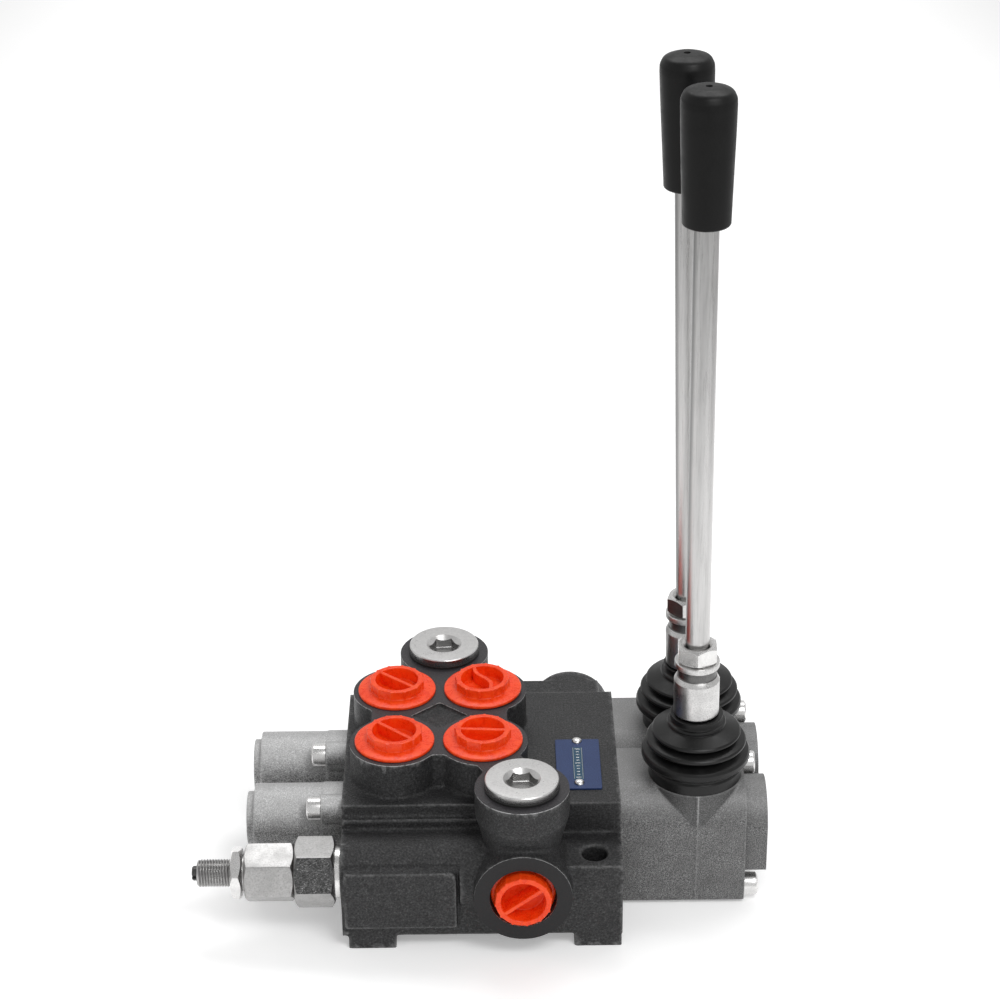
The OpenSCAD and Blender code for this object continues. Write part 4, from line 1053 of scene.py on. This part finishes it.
def coil_part(name, node, axis, turns, wire_r, mean_r, body, part=(0, 1)):
    """Compression spring with closed ends, filling its CAD solid's box along the axis, or a part of it."""
    lo, hi = low(node), high(node)
    middle = (lo + hi) / 2
    length = hi[axis] - lo[axis]
    steps = int(turns * 40)
    u = np.linspace(0, 1, steps + 1)
    angle = 2 * math.pi * turns * u
    height = wire_r + (length - 2 * wire_r) * (u - 0.7 * np.sin(2 * math.pi * u) / (2 * math.pi))
    path = np.zeros((steps + 1, 3))
    others = [a for a in range(3) if a != axis]
    path[:, axis] = lo[axis] + height
    path[:, others[0]] = middle[others[0]] + mean_r * np.cos(angle)
    path[:, others[1]] = middle[others[1]] + mean_r * np.sin(angle)
    first, last = (round(steps * share) for share in part)
    shape = Shape().tube(path[first:last + 1], wire_r, 16)
    obj = piece(name, shape, SPRING, body, [node], sharp=50)
    ends = []
    for at in (lo[axis], hi[axis]):
        end = middle.copy()
        end[axis] = at
        ends.append(end)
    return obj, ends, middle


def coil(name, node, axis, turns, wire_r, mean_r):
    """A whole spring with a mesh of its own, tied to the valve."""
    obj, ends, _ = coil_part(name, node, axis, turns, wire_r, mean_r, "valve")
    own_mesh(obj)


for section in SECTIONS:
    coil(section + "_spring", section + "_centring_spring", axis=0, turns=5, wire_r=0.9, mean_r=8.2)
for name, part, mover in (("relief_coil_screw", (0, 0.5), "relief_adjuster_body"),
                          ("relief_coil_poppet", (0.5, 1), "relief_poppet_body")):
    half, ends, middle = coil_part(name, "relief_spring", axis=0, turns=8, wire_r=0.6, mean_r=4.4,
                                   body=None, part=part)
    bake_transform(half)
coil("check_coil", "check_spring", axis=2, turns=6, wire_r=0.5, mean_r=3.6)

INNER = {"relief_seat": PLAIN, "relief_poppet": PLAIN, "check_seat": PLAIN, "check_poppet": PLAIN,
         "spool_seals": SEAL, "front_spool": SPOOL, "rear_spool": SPOOL, "front_spring_cup": PLAIN,
         "rear_spring_cup": PLAIN, "front_spool_bolt": PLAIN, "rear_spool_bolt": PLAIN, "stop_rings": PLAIN,
         "pivot_pins": PLAIN}
for node, material in INNER.items():
    obj = frame["nodes"][node]
    obj.data.materials.clear()
    obj.data.materials.append(material)


# ---------- floor, light and camera ----------

def backdrop():
    """Pale floor with a painted pool of light: it glows under and behind the object and turns darker grey further
    out to the sides and front.
    """
    half = 6.0
    mesh = bpy.data.meshes.new("floor")
    corners = [(-half, -half, 0), (half, -half, 0), (half, half, 0), (-half, half, 0)]
    mesh.from_pydata(corners, [], [(0, 1, 2, 3)])
    floor = bpy.data.objects.new("floor", mesh)
    scene.collection.objects.link(floor)
    p = Paint("floor", Specular_IOR_Level=0.1)
    x, y, _ = p.split(p.place)
    aside = p.span(p.math("ABSOLUTE", x), 300, 650)
    front = p.span(y, -600, -260, 1, 0)
    beyond_light_pool = p.math("MAXIMUM", aside, front)
    pale = p.ramp(p.noise(60, 3, 0.5), [(0.3, grey(0.91)), (0.7, grey(0.92))])
    # painted pool of light: darker grey floor beyond it and a glow inside it
    p.put("Base Color", p.mix(beyond_light_pool, pale, grey(0.60)))
    p.put("Roughness", p.span(p.noise(25, 3, 0.5), 0.3, 0.7, 0.7, 0.85))
    p.put("Emission Color", p.mix(beyond_light_pool, (1, 1, 1), (0, 0, 0)))
    p.shader.inputs["Emission Strength"].default_value = 0.28
    mesh.materials.append(p.material)


def soft_box(name, at, aim, size, power):
    light = bpy.data.lights.new(name, "AREA")
    light.shape = "RECTANGLE"
    light.size, light.size_y = size
    light.energy = power
    lamp = bpy.data.objects.new(name, light)
    lamp.location = at
    lamp.rotation_euler = (Vector(aim) - Vector(at)).to_track_quat("-Z", "Y").to_euler()
    scene.collection.objects.link(lamp)


def sky():
    """Even pale surroundings, darker low down so that metal has something to reflect."""
    world = bpy.data.worlds.new("studio")
    world.use_nodes = True
    scene.world = world
    nodes, links = world.node_tree.nodes, world.node_tree.links
    where = nodes.new("ShaderNodeTexCoord")
    axes = nodes.new("ShaderNodeSeparateXYZ")
    links.new(where.outputs["Generated"], axes.inputs[0])
    ramp = nodes.new("ShaderNodeValToRGB")
    stops = [(0.0, grey(0.7)), (0.5, grey(1.0)), (0.72, grey(0.95)), (1.0, grey(0.55))]
    while len(ramp.color_ramp.elements) < len(stops):
        ramp.color_ramp.elements.new(0.5)
    for element, (at, colour) in zip(ramp.color_ramp.elements, stops):
        element.position, element.color = at, (*colour, 1)
    half = nodes.new("ShaderNodeMath")
    half.operation = "MULTIPLY_ADD"
    half.inputs[1].default_value = 0.5
    half.inputs[2].default_value = 0.5
    links.new(axes.outputs["Z"], half.inputs[0])
    links.new(half.outputs[0], ramp.inputs[0])
    links.new(ramp.outputs[0], nodes["Background"].inputs["Color"])
    nodes["Background"].inputs["Strength"].default_value = 0.72


def camera():
    pitch, yaw, roll = math.radians(27.20), math.radians(0.18), math.radians(-0.60)
    forward = Vector((math.sin(yaw) * math.cos(pitch), math.cos(yaw) * math.cos(pitch), -math.sin(pitch)))
    side = Vector((math.cos(yaw), -math.sin(yaw), 0))
    above = side.cross(forward)
    x = math.cos(roll) * side + math.sin(roll) * above
    y = -math.sin(roll) * side + math.cos(roll) * above
    data = bpy.data.cameras.new("camera")
    sensor, lens_ratio = 36, 2.6
    data.sensor_width = sensor
    data.lens = sensor * lens_ratio
    data.clip_start, data.clip_end = 0.05, 50
    cam = bpy.data.objects.new("camera", data)
    matrix = Matrix((x, y, -forward)).transposed().to_4x4()
    matrix.translation = Vector((5.4, -807.1, 562.6)) * MM
    cam.matrix_world = matrix
    scene.collection.objects.link(cam)
    scene.camera = cam


backdrop()
sky()
camera()
soft_box("key", (0.40, -0.70, 1.10), (0, 0, 0.04), (0.45, 0.45), 5.4)
soft_box("top", (0.15, 0.60, 1.25), (0, 0.05, 0), (1.2, 0.5), 7.0)
scene.view_settings.view_transform = "Standard"
